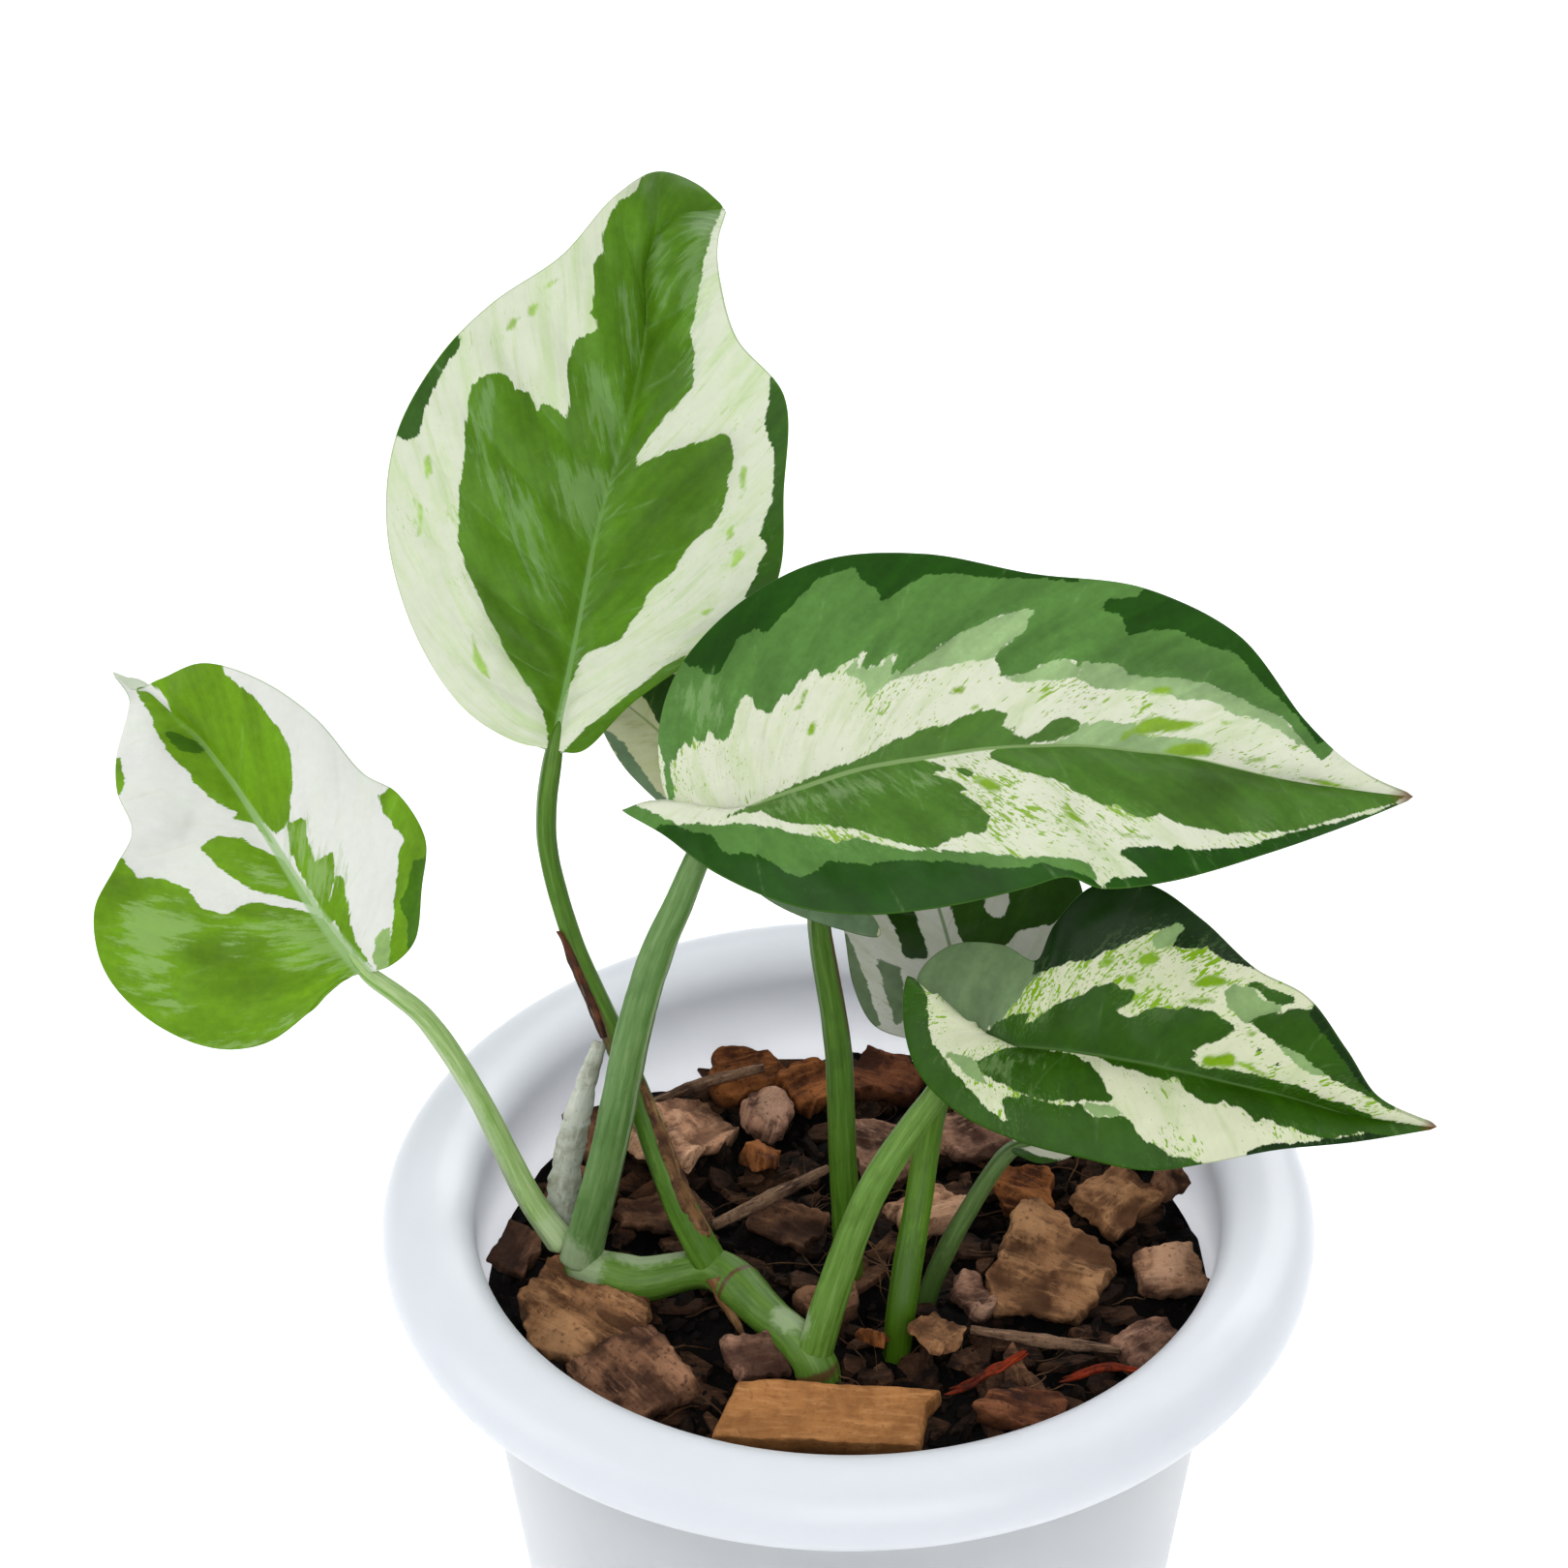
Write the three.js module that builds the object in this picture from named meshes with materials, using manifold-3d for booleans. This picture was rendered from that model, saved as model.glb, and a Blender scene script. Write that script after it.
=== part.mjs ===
// Variegated pothos in a white plastic pot, in millimetres.
// The origin is the centre of the pot's base, +Z is up and -Y is the front.

import * as THREE from 'three';
import { mergeVertices } from 'three/addons/utils/BufferGeometryUtils.js';
import Module from 'manifold-3d';

const wasm = await Module();
wasm.setup();

// Driving dimensions
const GAP = 0.3; // clearance between pieces that touch
const FACET = 0.2; // further clearance inside the pot, for the flats of its rounded wall
const POT_HEIGHT = 88;
const LIP_RADIUS = 55;
const LIP_HALF_WIDTH = 5.5;
const LIP_HALF_HEIGHT = 4.4;
const BASE_RADIUS = 37.5;
const WALL = 2;
const EDGE = 1.5; // bevel round the base, inside and out
const SKIRT = 1.5; // thickness of the lip's curl
const DRAIN_HOLES = 6;
const DRAIN_RADIUS = 2.5;
const DRAIN_CIRCLE = 24;
const MEDIUM_TOP = 73.5;
const MEDIUM_BUMP = 0.8;
const SOFTENED = 0.5; // bevel on the edges of a chip
const BLADE = 0.8; // leaf thickness
const BLADE_STEPS = 14; // along a leaf
const BLADE_COLUMNS = 5; // from midrib to margin
const RIB_LEAN = 1.6; // above 1, side veins start nearer to the joint than they meet the margin

// Finishes
const finish = (color, roughness) => new THREE.MeshStandardMaterial({ color, roughness, metalness: 0 });
const plastic = finish(0xe4e8f0, 0.35);
const soil = finish(0x3a2418, 0.95);
const husk = finish(0x7d5540, 0.9);
const sawnWood = finish(0xb98552, 0.8);
const redFibre = finish(0x9a3a1c, 0.85);
const greenStem = finish(0x5f9a4c, 0.45);
const palePetiole = finish(0x9fbf86, 0.5);
const leafGreen = finish(0x4f8a3c, 0.4);
const drySheath = finish(0xc9cfba, 0.7);
const brownSheath = finish(0x7a5a3c, 0.85);

const plant = new THREE.Group();
const vector = (p) => new THREE.Vector3(...p);

// A smooth curve through points, evenly spaced along its length
function curve(points) {
  return new THREE.CatmullRomCurve3(points.map(vector), false, 'centripetal');
}

// A closed mesh from triangle corners: joins equal corners, drops flat triangles, turns faces outward
function closed(geometry) {
  geometry.deleteAttribute('normal');
  geometry.deleteAttribute('uv');
  const merged = mergeVertices(geometry, 1e-4);
  const place = merged.getAttribute('position');
  const corner = (i) => new THREE.Vector3().fromBufferAttribute(place, i);
  const kept = [];
  let volume = 0;
  for (let i = 0; i < merged.index.count; i += 3) {
    const [a, b, c] = [0, 1, 2].map((k) => merged.index.getX(i + k));
    if (a === b || b === c || c === a) continue;
    kept.push(a, b, c);
    volume += corner(a).dot(corner(b).cross(corner(c)));
  }
  if (volume < 0) kept.reverse();
  merged.setIndex(kept);
  return merged;
}

function solid(geometry) {
  const mesh = closed(geometry);
  const vertProperties = new Float32Array(mesh.getAttribute('position').array);
  const triVerts = new Uint32Array(mesh.index.array);
  return new wasm.Manifold(new wasm.Mesh({ numProp: 3, vertProperties, triVerts }));
}

// The largest body of a cut solid, as a geometry
function geometryOf(manifold) {
  const bodies = manifold.decompose();
  bodies.sort((a, b) => b.volume() - a.volume());
  const { vertProperties, triVerts, numProp } = bodies[0].getMesh();
  const geometry = new THREE.BufferGeometry();
  const corners = new Float32Array((vertProperties.length / numProp) * 3);
  for (let i = 0; i < corners.length / 3; i += 1) {
    corners.set(vertProperties.slice(i * numProp, i * numProp + 3), i * 3);
  }
  geometry.setAttribute('position', new THREE.BufferAttribute(corners, 3));
  geometry.setIndex([...triVerts]);
  return geometry;
}

function addPiece(name, manifold, material) {
  const mesh = new THREE.Mesh(geometryOf(manifold), material);
  mesh.name = name;
  plant.add(mesh);
}

// A closed skin over rows of points: each row is a ring, and the first and last rings are capped
function skin(rows) {
  const across = rows[0].length;
  const corners = rows.flat().flatMap((p) => [p.x, p.y, p.z]);
  const index = [];
  for (let i = 0; i + 1 < rows.length; i += 1) {
    for (let j = 0; j < across; j += 1) {
      const a = i * across + j;
      const b = i * across + ((j + 1) % across);
      index.push(a, b, b + across, a, b + across, a + across);
    }
  }
  const end = (rows.length - 1) * across;
  for (let j = 1; j + 1 < across; j += 1) {
    index.push(0, j + 1, j, end, end + j, end + j + 1);
  }
  const geometry = new THREE.BufferGeometry();
  geometry.setAttribute('position', new THREE.Float32BufferAttribute(corners, 3));
  geometry.setIndex(index);
  return geometry;
}

// A round stalk along a curve, its radius blended between the given radii
function stalk(points, radii, extra = 0, flatness = 1, sides = 8, steps = 14) {
  const path = curve(points);
  const frames = path.computeFrenetFrames(steps, false);
  const rows = [];
  for (let i = 0; i <= steps; i += 1) {
    const along = (i / steps) * (radii.length - 1);
    const k = Math.min(Math.floor(along), radii.length - 2);
    const radius = THREE.MathUtils.lerp(radii[k], radii[k + 1], along - k) + extra;
    const middle = path.getPointAt(i / steps);
    if (i === 0) middle.addScaledVector(frames.tangents[0], -extra);
    if (i === steps) middle.addScaledVector(frames.tangents[steps], extra);
    const row = [];
    for (let j = 0; j < sides; j += 1) {
      const turn = (2 * Math.PI * j) / sides;
      row.push(middle.clone()
        .addScaledVector(frames.normals[i], radius * Math.cos(turn))
        .addScaledVector(frames.binormals[i], radius * flatness * Math.sin(turn)));
    }
    rows.push(row);
  }
  return solid(skin(rows));
}

// Pot: one lathed shell with a rolled lip that is open underneath, and drain holes in the base
function makePot() {
  const lipCentre = new THREE.Vector2(LIP_RADIUS - LIP_HALF_WIDTH, POT_HEIGHT - LIP_HALF_HEIGHT);
  const roll = (inset, from, to, steps) => {
    const points = [];
    for (let i = 0; i <= steps; i += 1) {
      const turn = THREE.MathUtils.degToRad(from + ((to - from) * i) / steps);
      points.push(new THREE.Vector2(
        lipCentre.x + (LIP_HALF_WIDTH - inset) * Math.cos(turn),
        lipCentre.y + (LIP_HALF_HEIGHT - inset) * Math.sin(turn),
      ));
    }
    return points;
  };
  const innerWall = lipCentre.x - LIP_HALF_WIDTH;
  const profile = [
    new THREE.Vector2(0, 0),
    new THREE.Vector2(BASE_RADIUS - EDGE, 0),
    new THREE.Vector2(BASE_RADIUS, EDGE),
    new THREE.Vector2(innerWall + WALL, lipCentre.y),
    ...roll(SKIRT, 150, -60, 9),
    ...roll(0, -60, 180, 14),
    new THREE.Vector2(innerWall, MEDIUM_TOP),
    new THREE.Vector2(BASE_RADIUS - WALL, WALL + EDGE),
    new THREE.Vector2(BASE_RADIUS - WALL - EDGE, WALL),
    new THREE.Vector2(0, WALL),
  ];
  const shell = new THREE.LatheGeometry(profile, 56).rotateX(Math.PI / 2);
  let pot = solid(shell);
  for (let i = 0; i < DRAIN_HOLES; i += 1) {
    const turn = (2 * Math.PI * i) / DRAIN_HOLES;
    const hole = new THREE.CylinderGeometry(DRAIN_RADIUS, DRAIN_RADIUS, 3 * WALL, 14)
      .rotateX(Math.PI / 2)
      .translate(DRAIN_CIRCLE * Math.cos(turn), DRAIN_CIRCLE * Math.sin(turn), 0);
    pot = pot.subtract(solid(hole));
  }
  return pot;
}

// Radius of the pot's inner wall at a height
function wallAt(z) {
  const top = Math.min(z, MEDIUM_TOP);
  return THREE.MathUtils.mapLinear(
    top, WALL + EDGE, MEDIUM_TOP, BASE_RADIUS - WALL, LIP_RADIUS - 2 * LIP_HALF_WIDTH);
}

// The room inside the pot's wall, less a clearance, that loose pieces keep to
function makeRoom() {
  const profile = [new THREE.Vector2(0, WALL + GAP)];
  for (const z of [WALL + GAP, MEDIUM_TOP, POT_HEIGHT]) {
    profile.push(new THREE.Vector2(wallAt(z) - GAP - FACET, z));
  }
  profile.push(new THREE.Vector2(0, POT_HEIGHT));
  return solid(new THREE.LatheGeometry(profile, 40).rotateX(Math.PI / 2));
}

// Growing medium: a plug that fills the pot with a clearance, with a gently uneven top
function makeMedium() {
  const floor = WALL + GAP;
  const rim = wallAt(MEDIUM_TOP) - GAP - FACET;
  const corner = 2 * EDGE;
  const profile = [
    new THREE.Vector2(0, floor),
    new THREE.Vector2(wallAt(floor) - corner, floor),
    new THREE.Vector2(wallAt(floor + corner) - GAP - FACET, floor + corner),
    ...[1, 0.82, 0.64, 0.46, 0.28, 0].map((part) => new THREE.Vector2(rim * part, MEDIUM_TOP)),
  ];
  const plug = new THREE.LatheGeometry(profile, 40).rotateX(Math.PI / 2);
  const place = plug.getAttribute('position');
  for (let i = 0; i < place.count; i += 1) {
    const [x, y, z] = [place.getX(i), place.getY(i), place.getZ(i)];
    if (z < MEDIUM_TOP - 1) continue;
    const bump = Math.sin(0.31 * x + 1) * Math.cos(0.27 * y) + 0.5 * Math.sin(0.53 * x - 0.41 * y);
    place.setZ(i, z + MEDIUM_BUMP * bump);
  }
  return solid(plug);
}

// Leaves. Each has its own frame: the origin is the joint with its petiole, x runs along the leaf as
// pointing says, z along its facing and y to the left. The midrib and both margins are smooth curves
// from the joint to the tip.
const leaves = {
  leaf_tall: {
    joint: [-33, 15.5, 137.5],
    pointing: [0.2, 0.59, 0.78],
    facing: [0.02, -0.8, 0.6],
    midrib: [[0, 0, 0], [11.5, 0, -1], [26.5, 0, -1.5], [38.5, -1, -2], [49.5, -1, -2.5], [58, 0.5, -3],
      [64, -1, -5], [67.5, -7, -9]],
    left: [[0, 0, 0], [0.5, 5, 0], [3, 11, 1], [10.5, 18, 2], [21, 23, 3], [31.5, 24, 3.5], [41.5, 21, 3],
      [49, 16.5, 1.5], [56, 10, 0.5], [65, 5.5, -3], [69.5, 1.5, -6], [69.5, -3, -8], [67.5, -7, -9]],
    right: [[0, 0, 0], [0.5, -3, 0.5], [6.5, -7.5, 2], [14.5, -15, 3], [22.5, -21, 3.5], [34, -20, 2],
      [44.5, -18, 3], [50, -11.5, 3], [56, -8.5, 2], [62, -7, -3], [67.5, -7, -9]],
  },
  leaf_front: {
    joint: [-14.5, -5.5, 141],
    pointing: [1, 0.03, 0.01],
    facing: [0, -0.34, 0.94],
    midrib: [[0, 0, 0], [7, 2.5, 1], [16.5, 5.5, 1.5], [29, 7, 2], [40, 7.5, 1.5], [52, 6.5, 0],
      [64, 4.5, -2.5], [77.5, 4.5, -6]],
    left: [[0, 0, 0], [-4, 1.5, 0.5], [-5.5, 9.5, 2.5], [-3, 18, 4.5], [4.5, 25.5, 7], [13.5, 29.5, 8.5],
      [24.5, 29.5, 9], [36, 26.5, 8.5], [48.5, 24.5, 7.5], [58.5, 18.5, 6], [65, 9.5, 2], [69, 6.5, -1],
      [72.5, 5, -3], [77.5, 4.5, -6]],
    right: [[0, 0, 0], [-4.5, 0, 1], [-9.5, 0.5, 2.5], [-5, -2, 1], [0, -6.5, 0.5], [7.5, -10, -1],
      [15.5, -11, -2], [25, -10, -2.5], [33, -8.5, -2], [37.5, -8, -1], [41, -8.5, -2.5], [48.5, -7, -4],
      [60, -3, -5], [70.5, 1.5, -6], [77.5, 4.5, -6]],
  },
  leaf_left: {
    joint: [-55.5, 7, 113],
    pointing: [-0.64, 0.58, 0.51],
    facing: [-0.1, -0.72, 0.69],
    midrib: [[0, 0, 0], [7.5, 0, -0.5], [17, -1, -1], [26, -2, -1.5], [33.5, -2.5, -1], [40, -2, -1],
      [44.5, -1.5, 0], [47.5, 0, 2]],
    left: [[0, 0, 0], [1, 3, 1], [0.5, 8, 1.5], [1, 13.5, 1.5], [4.5, 18.5, 1], [12.5, 22.5, 0],
      [21, 23, -0.5], [27, 19.5, 0], [29, 14, 1.5], [30.5, 10, 2.5], [36, 8.5, 1], [40, 6, -0.5],
      [45, 1, -1], [47.5, 0, 2]],
    right: [[0, 0, 0], [-1.5, -2.5, 1], [-1.5, -6.5, 2], [2.5, -11, 2.5], [6.5, -15, 3], [13.5, -16, 1.5],
      [18, -14.5, 1], [26.5, -14.5, 1.5], [34.5, -12.5, 2], [41, -8.5, 1.5], [44.5, -4, 0.5],
      [47.5, 0, 2]],
  },
  leaf_low: {
    joint: [13.5, -8, 111.5],
    pointing: [0.98, -0.19, -0.07],
    facing: [0, -0.34, 0.94],
    midrib: [[0, 0, 0], [5.5, 1, 1], [11.5, 1.5, 1], [20, 1.5, 1], [28, 1.5, 0], [35.5, 1.5, -1],
      [43, 1, -2], [52.5, 2, -3]],
    left: [[0, 0, 0], [-4.5, 2.5, 1], [-7, 7, 2.5], [-4, 11, 4], [2, 11.5, 5], [6, 9.5, 6], [7.5, 12.5, 9.5],
      [11, 16.5, 12], [17, 17.5, 12.5], [23.5, 14.5, 11.5], [30, 10.5, 9.5], [36, 8.5, 8.5],
      [41, 4.5, 5.5], [45, 1.5, 2], [52.5, 2, -3]],
    right: [[0, 0, 0], [-3.5, -1, 2], [-5, 1.5, 5], [-7.5, 3.5, 8], [-7.5, 0.5, 5], [-5, -4.5, 2],
      [0, -8, 0.5], [7, -9.5, -1], [14, -10, -1.5], [21.5, -10, -2], [27.5, -8, -2], [35, -4.5, -2.5],
      [43.5, -1.5, -3], [52.5, 2, -3]],
  },
  leaf_under: {
    joint: [-3, 8.5, 124.5],
    pointing: [-0.71, 0.61, 0.36],
    facing: [-0.05, -0.55, 0.84],
    midrib: [[0, 0, 0], [9, 0, 0.5], [17.5, 0, 0.5], [27, -0.5, 0], [40, -0.5, -2]],
    left: [[0, 0, 0], [-3.5, -0.5, 0.5], [-8, -0.5, 0.5], [-10, 0.5, 0], [-5, 3.5, 0], [2, 5.5, -1],
      [10.5, 5.5, -2], [19.5, 5, -3], [27.5, 4.5, -3], [32.5, 3, -2.5], [40, -0.5, -2]],
    right: [[0, 0, 0], [-4.5, -2, 0.5], [-6.5, -6.5, 1], [-3.5, -11.5, 1.5], [8.5, -14, 2], [20.5, -13.5, 2],
      [29.5, -9.5, 1], [37, -5.5, -0.5], [40, -0.5, -2]],
  },
  leaf_back: {
    joint: [14.5, 8, 103],
    pointing: [-0.25, 0.68, 0.69],
    facing: [-0.05, -0.72, 0.69],
    midrib: [[0, 0, 0], [7.5, -0.5, 0], [15.5, -0.5, 0], [24, 0, -1], [32, 0, -3]],
    left: [[0, 0, 0], [-0.5, 3, 0], [1, 7.5, 0], [3.5, 10.5, -0.5], [8.5, 11.5, -1], [13.5, 11, -1],
      [19.5, 10, -1], [25, 7.5, -1], [29.5, 4, -2], [32, 0, -3]],
    right: [[0, 0, 0], [-1.5, -4.5, 0.5], [0, -10, 1], [5, -14.5, 1], [10.5, -17, 1], [16.5, -16.5, 0.5],
      [23.5, -12.5, -1], [29, -6.5, -2], [32, 0, -3]],
  },
  leaf_small: {
    joint: [19.5, -3.5, 94.5],
    pointing: [0.99, 0.15, -0.05],
    facing: [0.1, -0.35, 0.93],
    midrib: [[0, 0, 0], [4, 1, 0], [8.5, 1, 0], [12.5, 1, -0.5], [16, 1, -1.5]],
    left: [[0, 0, 0], [-0.5, 1.5, 0.5], [1.5, 3.5, 1.5], [6, 5, 2], [10.5, 4.5, 1.5], [14, 3, 0],
      [16, 1, -1.5]],
    right: [[0, 0, 0], [-1, -1.5, 0.5], [1, -3.5, 1], [4, -5, 1], [8.5, -4.5, 0.5], [12.5, -2.5, -0.5],
      [16, 1, -1.5]],
  },
};

function leafMatrix(leaf) {
  const facing = vector(leaf.facing).normalize();
  const pointing = vector(leaf.pointing);
  pointing.addScaledVector(facing, -pointing.dot(facing)).normalize();
  const left = facing.clone().cross(pointing);
  return new THREE.Matrix4().makeBasis(pointing, left, facing).setPosition(...leaf.joint);
}

// A blade is a sheet ruled between the midrib and the margins, given its thickness along its normals.
// A rib leaves the midrib nearer to the joint than it meets the margin, as a leaf's side veins do.
function bladeRows(leaf, thickness) {
  const midrib = curve(leaf.midrib);
  const margins = [curve(leaf.left), curve(leaf.right)];
  const sheet = [];
  for (let i = 0; i <= BLADE_STEPS; i += 1) {
    const u = i / BLADE_STEPS;
    const middle = midrib.getPointAt(u ** RIB_LEAN);
    const row = [];
    for (let j = -BLADE_COLUMNS; j <= BLADE_COLUMNS; j += 1) {
      const margin = margins[j < 0 ? 0 : 1].getPointAt(u);
      row.push(middle.clone().lerp(margin, Math.abs(j) / BLADE_COLUMNS));
    }
    sheet.push(row);
  }
  const at = (i, j) => sheet[THREE.MathUtils.clamp(i, 0, BLADE_STEPS)][
    THREE.MathUtils.clamp(j, 0, 2 * BLADE_COLUMNS)];
  return sheet.map((row, i) => {
    const offset = row.map((point, j) => {
      const along = at(i + 1, j).clone().sub(at(i - 1, j));
      const across = at(i, j - 1).clone().sub(at(i, j + 1));
      const normal = along.cross(across);
      const flat = normal.length() < 1e-6 || i === 0 || i === BLADE_STEPS;
      if (flat) normal.set(0, 0, 1);
      return normal.normalize().multiplyScalar(thickness / 2);
    });
    const upper = row.map((point, j) => point.clone().add(offset[j]));
    const lower = row.map((point, j) => point.clone().sub(offset[j]));
    return [...upper, ...lower.reverse()];
  });
}

function blade(leaf, thickness) {
  return solid(skin(bladeRows(leaf, thickness)).applyMatrix4(leafMatrix(leaf)));
}

// Stems. The vine leaves the medium at the front, has a knuckle at each leaf and ends at the left.
const leftKnuckle = [-32, -3.5, 77.5];
const middleKnuckle = [-16, -5.5, 78];
const frontKnuckle = [-4.5, -19.5, 76.5];
const vine = {
  points: [[-33.5, -3, 77.5], leftKnuckle, [-25, -6, 77], middleKnuckle, [-10, -12.5, 77.5], frontKnuckle,
    [-3.5, -20.5, 70], [-4, -20, 60]],
  radii: [2, 2.9, 2.3, 2.8, 2.3, 2.6, 2.2, 1.6],
};
// Each petiole runs from its leaf down to its knuckle or into the medium
const petioles = {
  petiole_tall: {
    leaf: 'leaf_tall',
    points: [[-34, 13.5, 131.5], [-34, 12, 126], [-31.5, 8.5, 116], [-27.5, 5, 106], [-24.5, 2.5, 98],
      [-20, -2.5, 86], middleKnuckle],
    radii: [1.3, 1.2, 1.4, 1.9],
    material: greenStem,
  },
  petiole_front: {
    leaf: 'leaf_front',
    points: [[-16, -5.5, 137.5], [-18.5, -5.5, 131], [-21, -5, 124.5], [-24, -4.5, 113.5], [-27.5, -3.5, 96],
      leftKnuckle],
    radii: [1.5, 2.2, 2.4, 2.6, 2.6],
    material: greenStem,
  },
  petiole_left: {
    leaf: 'leaf_left',
    points: [[-52, 6.5, 110], [-49, 6, 107], [-43.5, 3.5, 98], [-37.5, -0.5, 85], [-33.5, -2.5, 79]],
    radii: [1.1, 1.3, 1.3, 1.5, 1.8],
    material: palePetiole,
  },
  petiole_low: {
    leaf: 'leaf_low',
    points: [[9, -9.5, 105.5], [2.5, -13, 96], [-2, -17, 85], frontKnuckle],
    radii: [1.3, 1.8, 2, 2.2],
    material: greenStem,
  },
  petiole_under: {
    leaf: 'leaf_under',
    points: [[-3, 8, 118], [-1, 4.5, 103.5], [-0.5, 0.5, 89.5], [0, -2, 78], [0, -3, 66]],
    radii: [1.3, 1.6, 1.7, 1.8],
    material: greenStem,
  },
  petiole_back: {
    leaf: 'leaf_back',
    points: [[10.5, 2.5, 96], [8, -5.5, 86.5], [6, -12.5, 78], [5, -15, 67]],
    radii: [1.3, 1.6, 1.8, 1.6],
    material: greenStem,
  },
  petiole_small: {
    leaf: 'leaf_small',
    points: [[14, -4.5, 85.5], [10.5, -6, 78], [8, -6.5, 68]],
    radii: [1, 1.2, 1.3],
    material: greenStem,
  },
};
// A petiole stops just short of its leaf's joint
function petiolePoints({ leaf, points }) {
  const joint = vector(leaves[leaf].joint);
  const back = vector(points[0]).sub(joint).setLength(BLADE / 2 + 2 * GAP);
  return [joint.add(back).toArray(), ...points];
}
const paleSheath = {
  points: [[-28.5, 3.5, 105], [-31, 2, 97], [-33, 1.5, 88], [-34, 0.5, 82], [-34, -0.5, 78.5]],
  radii: [0.6, 1.5, 2, 2.1, 1.2],
};
const sheathTail = {
  points: [[-16, -8.9, 79.5], [-15, -9.8, 77.3], [-13, -12.8, 75], [-11.8, -14.8, 74.5]],
  radii: [0.9, 0.8, 0.6, 0.4],
};

// Chips of husk and bark: centre, length, width, thickness, then turn about z, pitch and roll in degrees
const chips = [
  [-31, -10, 75.5, 19, 15, 3.2, -35, 6, 14],
  [-25, -22, 75.8, 16, 13, 3, -50, 4, 18],
  [-40, 2, 75, 9, 7, 2.6, 70, 0, 12],
  [-10.5, -19.5, 76.8, 8, 7, 3, 20, 8, 20],
  [-21.5, 20, 78.5, 24, 13, 2.4, 62, 24, 18],
  [-12, 35, 75.5, 12, 8, 3, 20, 4, 22],
  [-9.5, 27, 75.5, 10, 7, 3, 80, 6, 15],
  [-10, 17.5, 76, 9, 5, 2.2, 100, 30, 10],
  [-22, 8, 75, 12, 8, 2.6, 10, 8, 14],
  [16.5, 22, 75.6, 13, 9, 3, 35, 8, 16],
  [24, -5, 77, 17, 15, 3, -20, 10, 20],
  [10, -16.5, 77.4, 10, 6.5, 2.4, 62, 28, 12],
  [33, 8, 76.4, 13, 10, 3, 50, 8, 18],
  [38, -4, 75.5, 9, 8, 3, 10, 6, 16],
  [40, 13, 75.4, 8, 5, 2.6, 95, 6, 10],
  [14.5, -9, 76.6, 7, 6, 2.2, 30, 14, 16],
  [2.5, -15.5, 76.2, 7, 3.5, 1.8, 105, 32, 10],
  [19.5, -27, 75, 11, 7, 2.4, -10, 4, 12],
  [4.5, 19, 75.6, 12, 9, 3, -15, 10, 14],
  [-4.5, 33, 75.3, 9, 8, 2.8, 40, 5, 14],
  [6, 34, 75.5, 12, 8, 3, -20, 6, 16],
  [18, 35, 75.3, 10, 8, 2.8, 15, 4, 12],
  [28, 27, 75.4, 13, 9, 3, -48, 6, 14],
  [10, 8, 75.2, 10, 7, 2.6, 25, 6, 10],
  [22, 11, 75.6, 11, 8, 2.8, -30, 8, 14],
  [-31, 24, 75.3, 13, 8, 2.8, -42, 4, 12],
  [-33, 12, 75.2, 10, 7, 2.6, 15, 5, 14],
  [-7, 6, 75, 10, 7, 2.4, -25, 6, 10],
  [34, -17, 75.2, 10, 7, 2.6, 40, 5, 14],
  [-2.5, -9, 75, 9, 6, 2.4, 30, 4, 10],
];
const woodBlock = [-3, -29.5, 76.3, 28, 9.5, 5.5, -4, 2, 24];
// Twigs and fibres: points and radii
const twigs = {
  twig_middle: { points: [[-16, 3, 77.6], [-9, 8, 77.8], [-2, 13, 78]], radii: [0.7, 0.9, 0.5] },
  twig_right: { points: [[14, -15, 76.6], [22, -17, 76.6], [31, -18.5, 76.3]], radii: [0.5, 0.8, 0.5] },
  twig_back: { points: [[-26, 27, 76.6], [-18, 31, 77.4], [-10, 33.5, 78]], radii: [0.5, 0.8, 0.6] },
};
const fibres = {
  fibre_front: { points: [[11, -25, 76], [16, -22.5, 76.8], [20, -20.5, 78]], radii: [0.9, 1.2, 0.6] },
  fibre_right: { points: [[24, -23, 75.8], [29, -21.5, 76.4], [34, -22, 76]], radii: [0.6, 1, 0.5] },
};

// An uneven seven-sided slab with softened edges
function slab([x, y, z, length, width, thickness, turn, pitch, roll], seed, extra = 0) {
  const sides = 7;
  const outline = new THREE.Shape();
  for (let i = 0; i < sides; i += 1) {
    const around = (2 * Math.PI * (i + 0.3 * Math.sin(seed * 7 + i * 3))) / sides;
    const reach = 0.5 * (0.92 + 0.14 * Math.sin(seed * 5 + i * 4.1));
    const square = (value) => Math.sign(value) * Math.abs(value) ** 0.6;
    const [px, py] = [length * reach * square(Math.cos(around)), width * reach * square(Math.sin(around))];
    if (i === 0) outline.moveTo(px, py);
    else outline.lineTo(px, py);
  }
  const depth = thickness - 2 * SOFTENED + 2 * extra;
  const body = new THREE.ExtrudeGeometry(outline, {
    depth,
    bevelEnabled: true,
    bevelThickness: SOFTENED,
    bevelSize: SOFTENED,
    bevelOffset: extra - SOFTENED,
    bevelSegments: 1,
  }).translate(0, 0, -depth / 2);
  const degrees = [roll, pitch, turn].map(THREE.MathUtils.degToRad);
  const pose = new THREE.Matrix4().makeRotationFromEuler(new THREE.Euler(...degrees, 'ZYX'));
  return solid(body.applyMatrix4(pose.setPosition(x, y, z)));
}

// Assembly. Each piece is cut back by the ones before it, so that a clearance stays between them.
addPiece('pot', makePot(), plastic);

const bladeSpaces = [];
for (const [name, leaf] of Object.entries(leaves)) {
  addPiece(name, blade(leaf, BLADE), leafGreen);
  bladeSpaces.push(blade(leaf, BLADE + 2 * GAP));
}

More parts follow.
